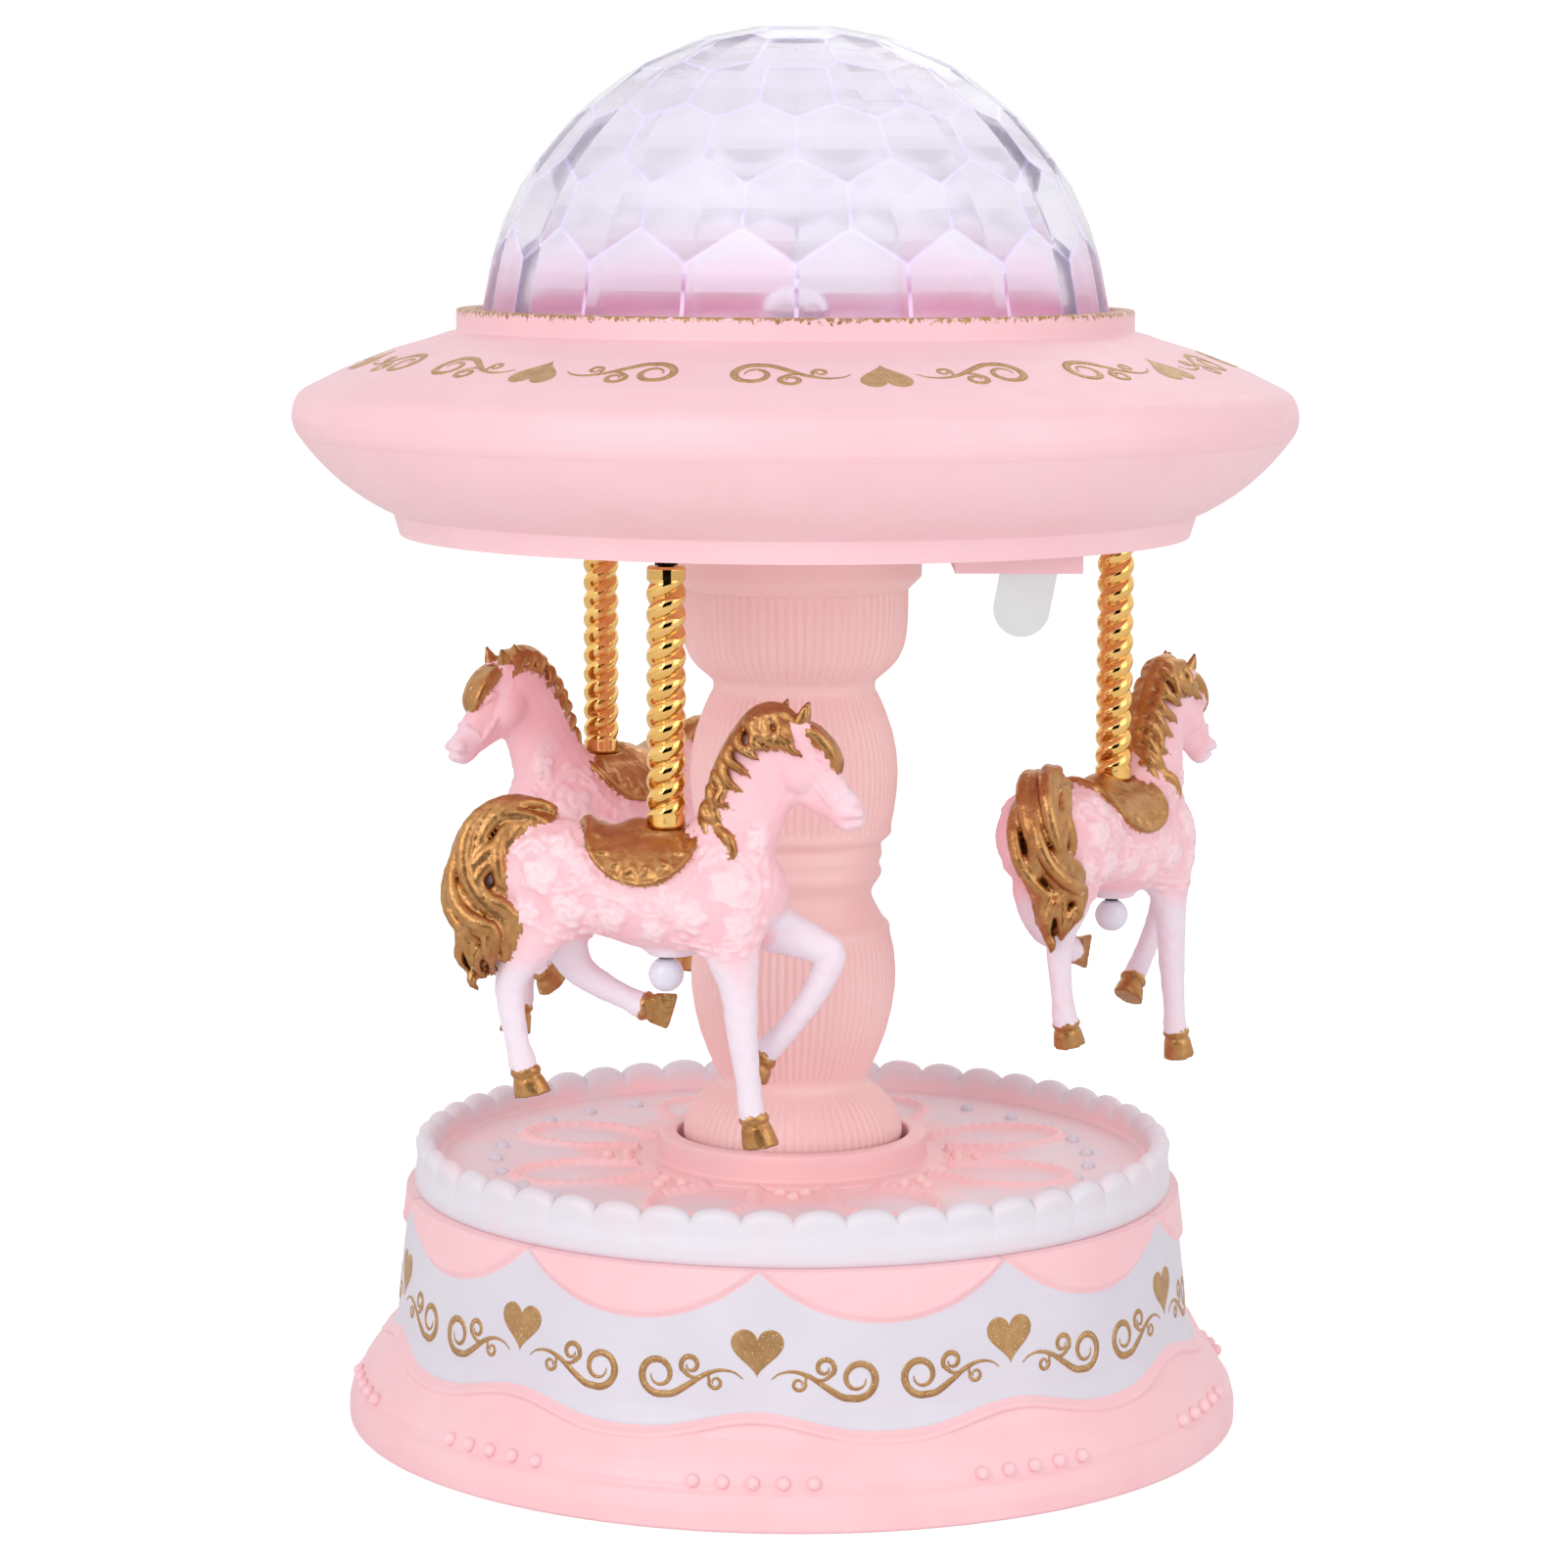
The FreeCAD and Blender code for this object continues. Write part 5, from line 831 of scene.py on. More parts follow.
def motif(heart, scroll, shift):
    """Flat points of a heart with two scrolls, and faces of their lower (2n) and upper (2n + 1) copies."""
    flat, faces = [], []
    for path, widths in scroll_strokes():
        for side in (-1, 1):
            first = 2 * len(flat)
            edges = np.stack(ribbon(path, widths), axis=1).reshape(-1, 2)
            flat += (edges * [side * scroll[0], scroll[1]] + [side * shift[0], shift[1]]).tolist()
            for k in range(len(path) - 1):
                a, b, c, d = [first + 2 * (2 * k + n) for n in (0, 1, 3, 2)]
                faces += [(a + 1, b + 1, c + 1, d + 1), (a, a + 1, d + 1, d), (b, c, c + 1, b + 1)]
    outline = heart_outline(*heart)
    size, first = len(outline), 2 * len(flat)
    for share in HEART_RINGS:
        flat += (outline * share).tolist()
    flat.append([0, 0])
    centre = 2 * len(flat) - 1
    for k in range(size):
        m = (k + 1) % size
        faces.append((first + 2 * k, first + 2 * m, first + 2 * m + 1, first + 2 * k + 1))
        for ring in range(len(HEART_RINGS) - 1):
            a, b = [first + 2 * (ring * size + n) + 1 for n in (k, m)]
            faces.append((a, b, b + 2 * size, a + 2 * size))
        faces.append((a + 2 * size, b + 2 * size, centre))
    return flat, faces


def foil_print(name, count, first_deg, place, heart, scroll, shift, body):
    """Print the motif round a surface: heart and scroll are (wide, high), and place finds a point's spot."""
    flat, motif_faces = motif(heart, scroll, shift)
    points, faces = [], []
    for i in range(count):
        angle = math.radians(first_deg) + TURN * i / count
        faces += [[len(points) + k for k in face] for face in motif_faces]
        for x, y in flat:
            spot, out = place(angle, x, y)
            points += [spot - out * FOIL_SINK, spot + out * FOIL_LIFT]
    settle(new_object(name, np.array(points), faces, [FOIL]), body, "brass")


BASE_HEART_Z, CANOPY_HEART_R = 18.9, 50.6


def on_base(angle, x, y):
    """A point of the white band, from a heart's middle."""
    z = BASE_HEART_Z + y
    r = float(wall_radius(z)) - RELIEF
    turn = angle + x / r
    out = np.array([math.cos(turn), math.sin(turn), 0.08])
    return np.array([r * math.cos(turn), r * math.sin(turn), z]), out


def on_canopy(angle, x, y):
    """A point of the upper cone, with up in the drawing towards the dome."""
    r = CANOPY_HEART_R - y
    radii, heights = np.array(CONE[:6]).T
    turn = angle + x / CANOPY_HEART_R
    z = float(np.interp(r, radii, heights))
    out = np.array([0.35 * math.cos(turn), 0.35 * math.sin(turn), 0.94])
    return np.array([r * math.cos(turn), r * math.sin(turn), z]), out


# Horses: a signed field drawn as a smooth skin, with limbs as stations of (x, y, z, depth, width)
STEP = 0.28
LOW, HIGH = np.array([-27.0, -9.6, -37.6]), np.array([24.4, 9.6, 16.4])
FAR = 9.0
BORE_R, SEAT_R, SEAT_CUT, BOSS_LOW, BEAD_ROOM, BEAD_CUT = 1.0, 2.75, -0.6, -14.0, 3.2, -14.55
TORSO = [(-18.6, 0, -6.2, 1.6, 1.8), (-17.2, 0, -5.6, 4.6, 4.6), (-13.5, 0, -5.2, 6.2, 6.6),
         (-7.0, 0, -6.3, 6.0, 6.3), (0.0, 0, -7.4, 6.7, 6.8), (5.6, 0, -7.3, 6.5, 6.6),
         (9.2, 0, -7.2, 4.7, 5.0), (11.0, 0, -7.2, 2.4, 2.6)]
NECK = [(5.6, 0, -5.0, 5.8, 4.6), (8.4, 0, 0.6, 4.7, 3.6), (10.4, 0, 5.6, 4.3, 3.0),
        (12.5, 0, 9.4, 3.6, 2.5), (13.4, 0, 11.2, 2.0, 1.7)]
HEAD = [(12.8, 0, 9.6, 2.6, 2.0), (14.3, 0, 7.8, 3.9, 2.5), (16.5, 0, 5.8, 3.2, 2.2),
        (18.9, 0, 3.5, 2.3, 1.75), (20.6, 0, 2.2, 1.8, 1.55), (21.3, 0, 1.5, 1.35, 1.3)]
EAR = [(14.8, 1.3, 11.0, 1.0, 0.75), (15.4, 1.6, 12.6, 0.85, 0.65), (15.9, 1.8, 14.2, 0.25, 0.25)]
HIND_RIGHT = [(-12.6, -2.6, -7.6, 5.0, 3.2), (-15.2, -3.4, -12.4, 3.2, 2.5), (-17.1, -3.5, -16.6, 1.9, 1.7),
              (-17.3, -3.5, -19.6, 1.6, 1.4), (-16.6, -3.5, -24.0, 1.35, 1.25),
              (-16.0, -3.5, -26.6, 1.6, 1.5)]
HIND_LEFT = [(-12.0, 2.6, -8.0, 4.8, 3.2), (-12.2, 3.4, -13.0, 2.9, 2.3), (-10.6, 3.5, -16.8, 1.9, 1.7),
             (-7.8, 3.5, -18.8, 1.55, 1.4), (-4.8, 3.5, -20.3, 1.35, 1.25), (-3.6, 3.5, -20.9, 1.5, 1.4)]
FORE_RIGHT = [(7.4, -2.6, -9.6, 4.2, 3.2), (7.8, -3.3, -13.4, 3.1, 2.4), (8.6, -3.3, -18.0, 2.1, 1.8),
              (9.0, -3.3, -23.0, 1.75, 1.6), (9.7, -3.3, -28.6, 1.4, 1.3), (10.0, -3.3, -31.6, 1.5, 1.4)]
FORE_LEFT = [(8.2, 2.6, -8.6, 4.2, 3.2), (12.0, 3.2, -11.6, 3.0, 2.3), (16.0, 3.3, -13.4, 2.1, 1.8),
             (18.4, 3.3, -14.9, 1.8, 1.7), (16.6, 3.3, -19.2, 1.45, 1.35), (13.6, 3.3, -23.4, 1.35, 1.25),
             (11.4, 3.3, -25.8, 1.45, 1.35)]
HOOVES = [((-15.8, -3.5, -27.0), (0.20, -0.98), 3.4), ((-3.4, 3.5, -21.0), (0.96, -0.28), 3.8),
          ((10.2, -3.3, -32.0), (0.16, -0.99), 3.9), ((11.0, 3.3, -26.2), (-0.60, -0.80), 3.0)]
TAIL = [(-13.0, 0, 0.4, 1.4, 1.8), (-16.2, -0.8, 0.7, 2.3, 2.3), (-19.6, -2.0, -1.4, 3.4, 2.8),
        (-21.2, -3.4, -5.4, 3.5, 3.0), (-20.4, -4.4, -8.8, 3.1, 2.7), (-18.9, -4.8, -11.2, 2.5, 2.4),
        (-20.3, -4.8, -13.8, 2.6, 2.3), (-19.6, -4.6, -17.4, 0.4, 0.5)]
CREST = [(14.4, 0, 12.4), (12.4, 0, 13.3), (10.2, 0, 12.6), (7.9, 0, 9.6), (6.2, 0, 6.2), (5.2, 0, 2.6),
         (4.4, 0, -0.4)]
TAIL_CURLS = [(-23.6, -5.6), (-22.4, -13.4), (-17.0, -9.6), (-21.0, -16.2)]
# Cheek, eye, brow, nostril and the bridle's two straps, each on both sides: path, radii, blend, count
FACE = [([(14.4, 1.5, 7.2), (15.2, 1.7, 6.2)], [1.7, 1.5], 0.8, 4),
        ([(17.2, 1.75, 7.6), (17.8, 1.7, 7.2)], [0.5, 0.45], 0.15, 4),
        ([(16.3, 1.8, 8.5), (17.6, 2.0, 8.5), (18.6, 1.6, 7.4)], [0.3, 0.36, 0.25], 0.15, 7),
        ([(21.5, 1.0, 2.3), (21.9, 1.0, 1.9)], [0.75, 0.6], 0.25, 4),
        ([(14.6, 2.3, 10.2), (16.4, 2.4, 6.6), (18.6, 1.9, 3.2)], [0.3, 0.3, 0.3], 0.12, 9),
        ([(18.2, 1.2, 1.8), (19.3, 1.75, 3.6), (20.6, 1.0, 4.8)], [0.2, 0.25, 0.2], 0.12, 9)]
# A curl and a tuft at the top of the mane and two locks at its foot: path, radii, blend, count
LOOSE_LOCKS = [
    ([(14.6, -0.8, 12.2), (13.0, -1.6, 13.2), (11.2, -2.0, 12.2), (12.4, -2.5, 10.6), (14.4, -2.5, 10.2)],
     [0.6, 0.7, 0.7, 0.6, 0.2], 0.1, 14),
    ([(13.4, 0.6, 12.4), (13.2, 0.9, 13.4), (13.7, 1.0, 14.7)], [0.8, 0.6, 0.15], 0.2, 8),
    ([(4.4, -0.6, 0.2), (5.6, -2.4, 0.4), (7.2, -3.9, -0.3), (8.0, -4.4, -2.0), (7.4, -4.6, -3.0)],
     [0.8, 0.75, 0.7, 0.5, 0.2], 0.2, 14),
    ([(4.4, 0.6, 0.0), (5.4, 2.4, 0.0), (6.6, 3.7, -1.0)], [0.8, 0.6, 0.25], 0.2, 9)]


class Field:
    """A grid of distances that shapes are joined into."""

    def __init__(self):
        self.axes = [np.arange(LOW[k], HIGH[k], STEP, dtype=np.float32) for k in range(3)]
        self.value = np.full([len(a) for a in self.axes], FAR, dtype=np.float32)

    def part(self, low, high):
        """Slices of the grid between two corners, and the coordinates there."""
        cut = []
        for k in range(3):
            first = int(np.clip((low[k] - LOW[k]) / STEP, 0, len(self.axes[k]) - 1))
            last = int(np.clip((high[k] - LOW[k]) / STEP + 2, 1, len(self.axes[k])))
            cut.append(slice(first, last))
        shape = ((-1, 1, 1), (1, -1, 1), (1, 1, -1))
        return tuple(cut), [self.axes[k][cut[k]].reshape(shape[k]) for k in range(3)]

    def join(self, cut, other, blend):
        """Smooth union of a shape with what is there."""
        here = self.value[cut]
        gap = np.clip(blend - np.abs(here - other), 0, None) / blend
        self.value[cut] = np.minimum(here, other) - gap ** 2 * blend / 4

    def limb(self, stations, blend, fine=4):
        """A limb with oval sections along a smooth path of stations."""
        path = curve_through(stations, fine * (len(stations) - 1) + 1)
        margin = path[:, 3:].max() + blend + 1
        cut, (x, y, z) = self.part(path[:, :3].min(0) - margin, path[:, :3].max(0) + margin)
        best = np.full(np.broadcast_shapes(x.shape, y.shape, z.shape), FAR, dtype=np.float32)
        for a, b in zip(path[:-1].astype(np.float32), path[1:].astype(np.float32)):
            dx, dz = b[0] - a[0], b[2] - a[2]
            t = np.clip(((x - a[0]) * dx + (z - a[2]) * dz) / (dx * dx + dz * dz + 1e-6), 0, 1)
            depth, width = a[3] + (b[3] - a[3]) * t, a[4] + (b[4] - a[4]) * t
            flat = ((x - a[0] - dx * t) ** 2 + (z - a[2] - dz * t) ** 2) / depth ** 2
            side = (y - a[1] - (b[1] - a[1]) * t) ** 2 / width ** 2
            best = np.minimum(best, (np.sqrt(flat + side) - 1) * np.minimum(depth, width))
        self.join(cut, best, blend)

    def strand(self, points, radii, blend, count=14):
        """A round lock of hair along a path."""
        path = curve_through(points, count)
        t = np.linspace(0, 1, count)
        radius = np.interp(t, np.linspace(0, 1, len(radii)), radii)
        for a, b, ra, rb in zip(path[:-1], path[1:], radius[:-1], radius[1:]):
            margin = max(ra, rb) + blend + 0.8
            cut, (x, y, z) = self.part(np.minimum(a, b) - margin, np.maximum(a, b) + margin)
            way = b - a
            along = ((x - a[0]) * way[0] + (y - a[1]) * way[1] + (z - a[2]) * way[2]) / (way @ way + 1e-6)
            s = np.clip(along, 0, 1)
            gap = np.sqrt((x - a[0] - way[0] * s) ** 2 + (y - a[1] - way[1] * s) ** 2
                          + (z - a[2] - way[2] * s) ** 2) - (ra + (rb - ra) * s)
            self.join(cut, gap.astype(np.float32), blend)


def hoof(field, top, way, length):
    """A hoof: a cone cut flat at the sole, with a band round its top."""
    cut, (x, y, z) = field.part(np.array(top) - 6, np.array(top) + 6)
    along = (x - top[0]) * way[0] + (z - top[2]) * way[1]
    across = (x - top[0]) * -way[1] + (z - top[2]) * way[0]
    t = np.clip(along / length, 0, 1)
    band = 0.20 * np.exp(-((along - 0.5) / 0.35) ** 2) - 0.24 * np.exp(-((along - 1.2) / 0.2) ** 2)
    depth, width = 1.5 + 0.65 * t + band, 1.4 + 0.45 * t + band
    gap = (np.sqrt(((across - 0.35 * t) / depth) ** 2 + ((y - top[1]) / width) ** 2) - 1) * 1.5
    field.join(cut, np.maximum(gap, np.abs(along - length / 2) - length / 2).astype(np.float32), 0.3)


ROSES = [(-13.6, -4.6, 2.5), (-10.4, -8.8, 2.4), (-5.6, -9.6, 2.0), (3.4, -9.2, 2.4), (7.8, -5.6, 2.8),
         (8.8, -10.4, 2.1), (-11.2, -1.4, 1.8), (11.0, -0.8, 1.9), (-0.8, -11.0, 1.7), (-15.0, -9.0, 1.8)]
VINES = [[(-16, -7.4), (-13.4, -10.8), (-9.6, -12.4), (-7, -11.2), (-7.4, -9.0), (-8.6, -9.4)],
         [(-8.0, -6.4), (-4.8, -7.3), (-2, -9.0), (0.4, -8.8), (1.3, -7.2), (0.1, -6.5)],
         [(4.4, -3.2), (6.4, -1.4), (9.0, -2.6), (11.0, -5.2), (10.4, -7.8), (8.8, -7.8)],
         [(1.4, -12.2), (4.4, -12.8), (7.8, -13.0), (9.8, -12.0), (10.8, -9.6)],
         [(-16.8, -2.2), (-14.6, -0.8), (-12.4, -2.6), (-12.9, -4.2)],
         [(8.2, 3.2), (10.2, 2.4), (11.6, 0.8), (12.4, -1.6), (11.6, -3.4)],
         [(-12.4, -6.4), (-9.6, -6.0), (-8.2, -4.4), (-8.8, -2.8), (-10.0, -3.2)]]


def carved_relief(x, z):
    """Height of the carving on a horse's side: roses, leafy scrolls and a strap round the saddle."""
    height = np.zeros(np.broadcast_shapes(x.shape, z.shape), dtype=np.float32)
    for vine in VINES:
        path = curve_through(vine, 34)
        for k, (px, pz) in enumerate(path):
            height = np.maximum(height, 0.50 * np.exp(-((x - px) ** 2 + (z - pz) ** 2) / 0.11))
            if k % 6 == 3:
                way = path[k] - path[k - 1]
                way /= np.hypot(*way)
                for side in (-1, 1):
                    cx, cz = px - side * way[1] * 0.85, pz + side * way[0] * 0.85
                    u = (x - cx) * way[0] + (z - cz) * way[1]
                    v = -(x - cx) * way[1] + (z - cz) * way[0]
                    leaf = np.clip(1 - (u / 0.85) ** 2 - (v / 0.45) ** 2, 0, None) ** 0.6
                    height = np.maximum(height, 0.45 * leaf)
    for cx, cz, size in ROSES:
        u, v = (x - cx) / size, (z - cz) / size
        rho, phi = np.hypot(u, v), np.arctan2(v, u)
        edge = 0.86 + 0.14 * np.cos(5 * phi)
        petals = 0.42 + 0.58 * np.abs(np.cos(1.5 * phi - 5.2 * rho)) ** 0.7
        rose = 0.85 * np.clip(1 - (rho / edge) ** 2, 0, None) ** 0.45 * petals
        height = np.where(rho < edge, rose, height)
    for px, pz in curve_through([(-9.9, -2.6), (-7.4, -6.0), (-2.6, -7.3), (2.2, -6.4), (5.0, -3.2)], 22):
        height = np.maximum(height, 0.46 * np.exp(-((x - px) ** 2 + (z - pz) ** 2) / 0.10))
    return height


def skin(value, axes):
    """Points and quads of the zero surface of a field, one point in each crossed cell."""
    inside = value < 0
    cells = [n - 1 for n in value.shape]
    count = np.zeros(cells, dtype=np.int32)
    total = np.zeros(cells + [3], dtype=np.float32)
    ends = [slice(0, -1), slice(1, None)]
    for axis in range(3):
        u, v = [k for k in range(3) if k != axis]
        for a, b in ((0, 0), (0, 1), (1, 0), (1, 1)):
            edge = [ends[0]] * 3
            edge[u], edge[v] = ends[a], ends[b]
            start = value[tuple(edge)]
            edge[axis] = ends[1]
            end = value[tuple(edge)]
            cross = (start < 0) != (end < 0)
            count += cross
            total[..., axis] += np.where(cross, start / np.where(cross, start - end, 1), 0)
            total[..., u] += cross * a
            total[..., v] += cross * b
    used = count > 0
    index = np.full(cells, -1, dtype=np.int64)
    index[used] = np.arange(used.sum())
    points = np.argwhere(used) + total[used] / count[used][:, None]
    points = np.stack([axes[k][0] + points[:, k] * STEP for k in range(3)], axis=1)
    faces = []
    for axis in range(3):
        u, v = [k for k in range(3) if k != axis]
        low, high = [slice(1, -1)] * 3, [slice(1, -1)] * 3
        low[axis], high[axis] = ends
        spots = np.argwhere(inside[tuple(low)] != inside[tuple(high)])
        spots[:, [u, v]] += 1
        quads = []
        for a, b in ((0, 0), (1, 0), (1, 1), (0, 1)):
            shift = spots.copy()
            shift[:, u] -= a
            shift[:, v] -= b
            quads.append(index[tuple(shift.T)])
        quads = np.stack(quads, axis=1)
        flip = inside[tuple(spots.T)] != (axis == 1)
        quads[flip] = quads[flip][:, ::-1]
        faces.append(quads)
    return points, np.concatenate(faces)


def flow_locks(field):
    """Mane, forelock and tail as overlapping locks of hair."""
    crest = curve_through(CREST, 27)
    draw = np.random.default_rng(7)
    field.strand(CREST, [0.8, 1.1, 1.2, 1.2, 1.1, 1.0, 0.8], 0.3, 24)
    for i in range(1, 26, 2):
        c = crest[i]
        wave = draw.uniform(-0.7, 0.7)
        fall = 3.1 + draw.uniform(-0.8, 1.0)
        right = [c, c + (-0.5, -1.5, -0.2), c + (-0.3 + wave, -2.5, -fall * 0.45),
                 c + (0.5 - wave, -3.0, -fall * 0.8), c + (1.7, -3.1, -fall)]
        field.strand(right, [0.65, 0.75, 0.66, 0.52, 0.2], 0.06)
        left = [c, c + (-0.4, 1.2, 0.0), c + (-0.1 + wave, 1.9, -1.0), c + (0.7, 2.2, -2.0)]
        field.strand(left, [0.8, 0.75, 0.55, 0.2], 0.16, 9)
    for lock in LOOSE_LOCKS:
        field.strand(*lock)
    for side, out in ((-1.3, 0.0), (-0.5, 0.5), (0.4, 0.6), (1.2, 0.1)):
        field.strand([(14.4, side * 0.6, 11.8), (16.5, side, 11.2), (18.0 + out * 0.4, side * 1.1, 9.7),
                      (19.0 + out * 0.5, side, 8.0), (19.6 + out * 0.3, side * 0.8, 6.6)],
                     [0.6, 0.85, 0.9, 0.75, 0.2], 0.1)
    middle = curve_through(TAIL, 30)
    locks = 16
    for k in range(locks):
        start = TURN * k / locks
        turn = start + np.linspace(0, 1.3, 30) * math.pi * (1 if k % 3 else -0.8)
        sway = 0.9 + 0.24 * np.sin(np.linspace(0, 9, 30) + 1.7 * k)
        way = np.gradient(middle[:, [0, 2]], axis=0)
        way /= np.linalg.norm(way, axis=1)[:, None]
        off = middle[:, 3] * np.cos(turn) * sway
        points = np.stack([middle[:, 0] - way[:, 1] * off, middle[:, 1] + middle[:, 4] * np.sin(turn) * sway,
                           middle[:, 2] + way[:, 0] * off], axis=1)
        field.strand(points[::2], [0.5, 0.85, 0.95, 0.8, 0.95, 0.65, 0.2], 0.05, 28)
    for k, (cx, cz) in enumerate(TAIL_CURLS):
        way = -1 if k != 2 else 1
        cy = np.interp(-cz, -middle[:, 2], middle[:, 1])
        field.strand([(cx - way * 1.6, cy - 0.6, cz + 2.2), (cx, cy - 1.0 + 0.5 * k, cz + 0.8),
                      (cx + way * 0.5, cy - 0.4, cz - 0.9), (cx - way * 0.3, cy + 0.2, cz - 2.0)],
                     [0.7, 0.8, 0.55, 0.15], 0.06, 9)


def horse_skin():
    """Points, faces and paint of a horse about its pole, with the saddle seat at height 0."""
    body, torso, gold = Field(), Field(), Field()
    torso.limb(TORSO, 0.5)
    for stations in (TORSO, NECK, HEAD, HIND_RIGHT, HIND_LEFT, FORE_RIGHT, FORE_LEFT):
        body.limb(stations, 1.5)
    for mirror in (1, -1):
        body.limb([(x, mirror * y, z, d, w) for x, y, z, d, w in EAR], 0.4)
        for path, radii, blend, count in FACE:
            body.strand(np.array(path) * (1, mirror, 1), radii, blend, count)
    body.strand([(19.6, 0, 1.6), (20.6, 0, 0.8)], [1.0, 0.85], 0.5, 4)
    body.strand([(0.4, 0, -12.4), (0.4, 0, -14.2)], [2.4, 1.9], 1.2, 4)
    x = body.axes[0].reshape(-1, 1, 1)
    y = body.axes[1].reshape(1, -1, 1)
    z = body.axes[2].reshape(1, 1, -1)
    flank = smoothstep(1.6, 3.4, np.abs(y)) * smoothstep(-15.5, -13.5, z) * smoothstep(3.0, 0.5, z)
    carving = carved_relief(x, z) * flank
    body.value -= 0.70 * carving
    lumps = np.sin(1.9 * x + 0.7 * z) * np.sin(2.3 * y + 1.1 * x) * np.sin(2.1 * z - 0.6 * y)
    body.value -= 0.07 * lumps
    mouth = np.exp(-((z - 1.35 - 0.1 * (x - 21)) / 0.22) ** 2) * smoothstep(19.6, 20.4, x)
    body.value += 0.4 * mouth * (z > 0)
    flap = np.hypot((x + 2.3) / 6.6, np.clip(z - 0.9, None, 0) / 6.6) - 1
    edge = -flap * 6.2
    border = np.abs((np.arctan2(z - 0.9, x + 2.3) * 9 / math.pi * 2) % 2 - 1)
    stitch = 0.28 * np.exp(-((edge - 0.9 - 1.2 * border) / 0.28) ** 2)
    rim = 0.35 * np.exp(-((edge - 0.35) / 0.3) ** 2)
    saddle = np.maximum(torso.value - 0.62 - rim - stitch, flap * 5.0)
    gold.value = np.minimum(gold.value, saddle.astype(np.float32))
    gold.strand([(-8.4, -3.2, -0.8), (-8.9, 0, 0.4), (-8.4, 3.2, -0.8)], [0.6, 0.9, 0.6], 0.4, 8)
    gold.strand([(3.6, -3.0, -1.4), (4.3, 0, -0.5), (3.6, 3.0, -1.4)], [0.6, 0.9, 0.6], 0.4, 8)
    gold.strand([(-3.4, 0, -2.0), (1.6, 0, -2.2)], [3.0, 2.9], 0.8, 6)
    flow_locks(gold)
    for top, way, length in HOOVES:
        hoof(gold, top, way, length)
    whole = np.minimum(body.value, gold.value)
    from_pole = np.hypot(x, y)
    boss = np.maximum(from_pole - SEAT_R, z)
    whole = np.minimum(whole, np.maximum(boss, BOSS_LOW - z))
    whole = np.maximum(whole, np.where(z > SEAT_CUT, np.minimum(SEAT_R - from_pole, z + 0.02), -FAR))
    whole = np.maximum(whole, BORE_R - from_pole)
    whole = np.maximum(whole, np.where(from_pole < BEAD_ROOM, BEAD_CUT - z, -FAR))
    points, faces = skin(whole.astype(np.float32), body.axes)
    spot = np.clip(((points - LOW) / STEP).round().astype(int), 0, np.array(whole.shape) - 1)
    at = tuple(spot.T)
    paint = smoothstep(-0.12, 0.30, body.value[at] - gold.value[at])
    ears = (points[:, 0] > 14.2) & (np.abs(points[:, 1]) > 0.7) & (np.abs(points[:, 1]) < 2.6)
    paint = np.maximum(paint, ears * smoothstep(11.9, 12.7, points[:, 2]))
    raised = np.broadcast_to(carving, whole.shape)[at]
    px, py, pz = points.T
    pale = np.clip(smoothstep(-11.5, -18.0, pz) + 0.6 * smoothstep(18.0, 22.0, px)
                   + 0.5 * smoothstep(-12.8, -14.2, pz) * (np.abs(py) < 4)
                   + smoothstep(10.8, 13.2, px) * smoothstep(-8.4, -10.6, pz), 0, 1)
    return points, faces, paint, pale, raised


def horse_material():
    """Pink paint, paler on the raised carving as a painted highlight and white on the legs, with ragged-edged
    antique gold, darker in its hollows as painted shade and lighter on its ridges as painted highlight.
    """
    material, tree, shader = blank_material("horse paint")
    pink = add_mix(tree, add_cloud(tree, 170, 5.0), (0.960, 0.610, 0.660), (0.945, 0.510, 0.575))
    # The raised carving is painted a paler pink: a painted highlight on the relief.
    carved = add_range(tree, add_attribute(tree, "raised"), 0.10, 0.55)
    pink = add_mix(tree, carved, pink, (0.965, 0.700, 0.745))
    smear = add_cloud(tree, 260, 4.0, 0.3, 0.7, -0.3, 0.3)
    pale = add_range(tree, add_math(tree, "ADD", add_attribute(tree, "pale"), smear), 0.1, 0.9)
    skin_colour = add_mix(tree, pale, pink, (0.860, 0.745, 0.830))
    shade = add_cloud(tree, 520, 6.0, 0.34, 0.66, roughness=0.65)
    gold = add_mix(tree, shade, (0.560, 0.300, 0.120), (0.420, 0.190, 0.065))
    # Gold darker in hollows as painted shade and lighter on ridges as painted highlight, found by pointiness.
    pointed = add_node(tree, "NewGeometry", "Pointiness", {})
    gold = add_mix(tree, add_range(tree, pointed, 0.46, 0.38), gold, (0.150, 0.050, 0.015))
    gold = add_mix(tree, add_range(tree, pointed, 0.52, 0.60), gold, (0.720, 0.450, 0.210))
    ragged = add_cloud(tree, 1500, 4.0, 0.3, 0.7, -0.25, 0.25)
    amount = add_range(tree, add_math(tree, "ADD", add_attribute(tree, "gold"), ragged), 0.35, 0.65)
    wrinkle = add_noise(tree, 1300, 4.0, 0.55)
    brushed = add_math(tree, "MULTIPLY", wrinkle, add_range(tree, amount, 0.0, 1.0, 0.25, 1.0))
    feed(tree, shader, {
        "Base Color": add_mix(tree, amount, skin_colour, gold),
        "Metallic": amount,
        "Roughness": add_range(tree, amount, 0.0, 1.0, 0.50, 0.34),
        "Normal": add_bump(tree, brushed, 0.00012),
    })
    return material


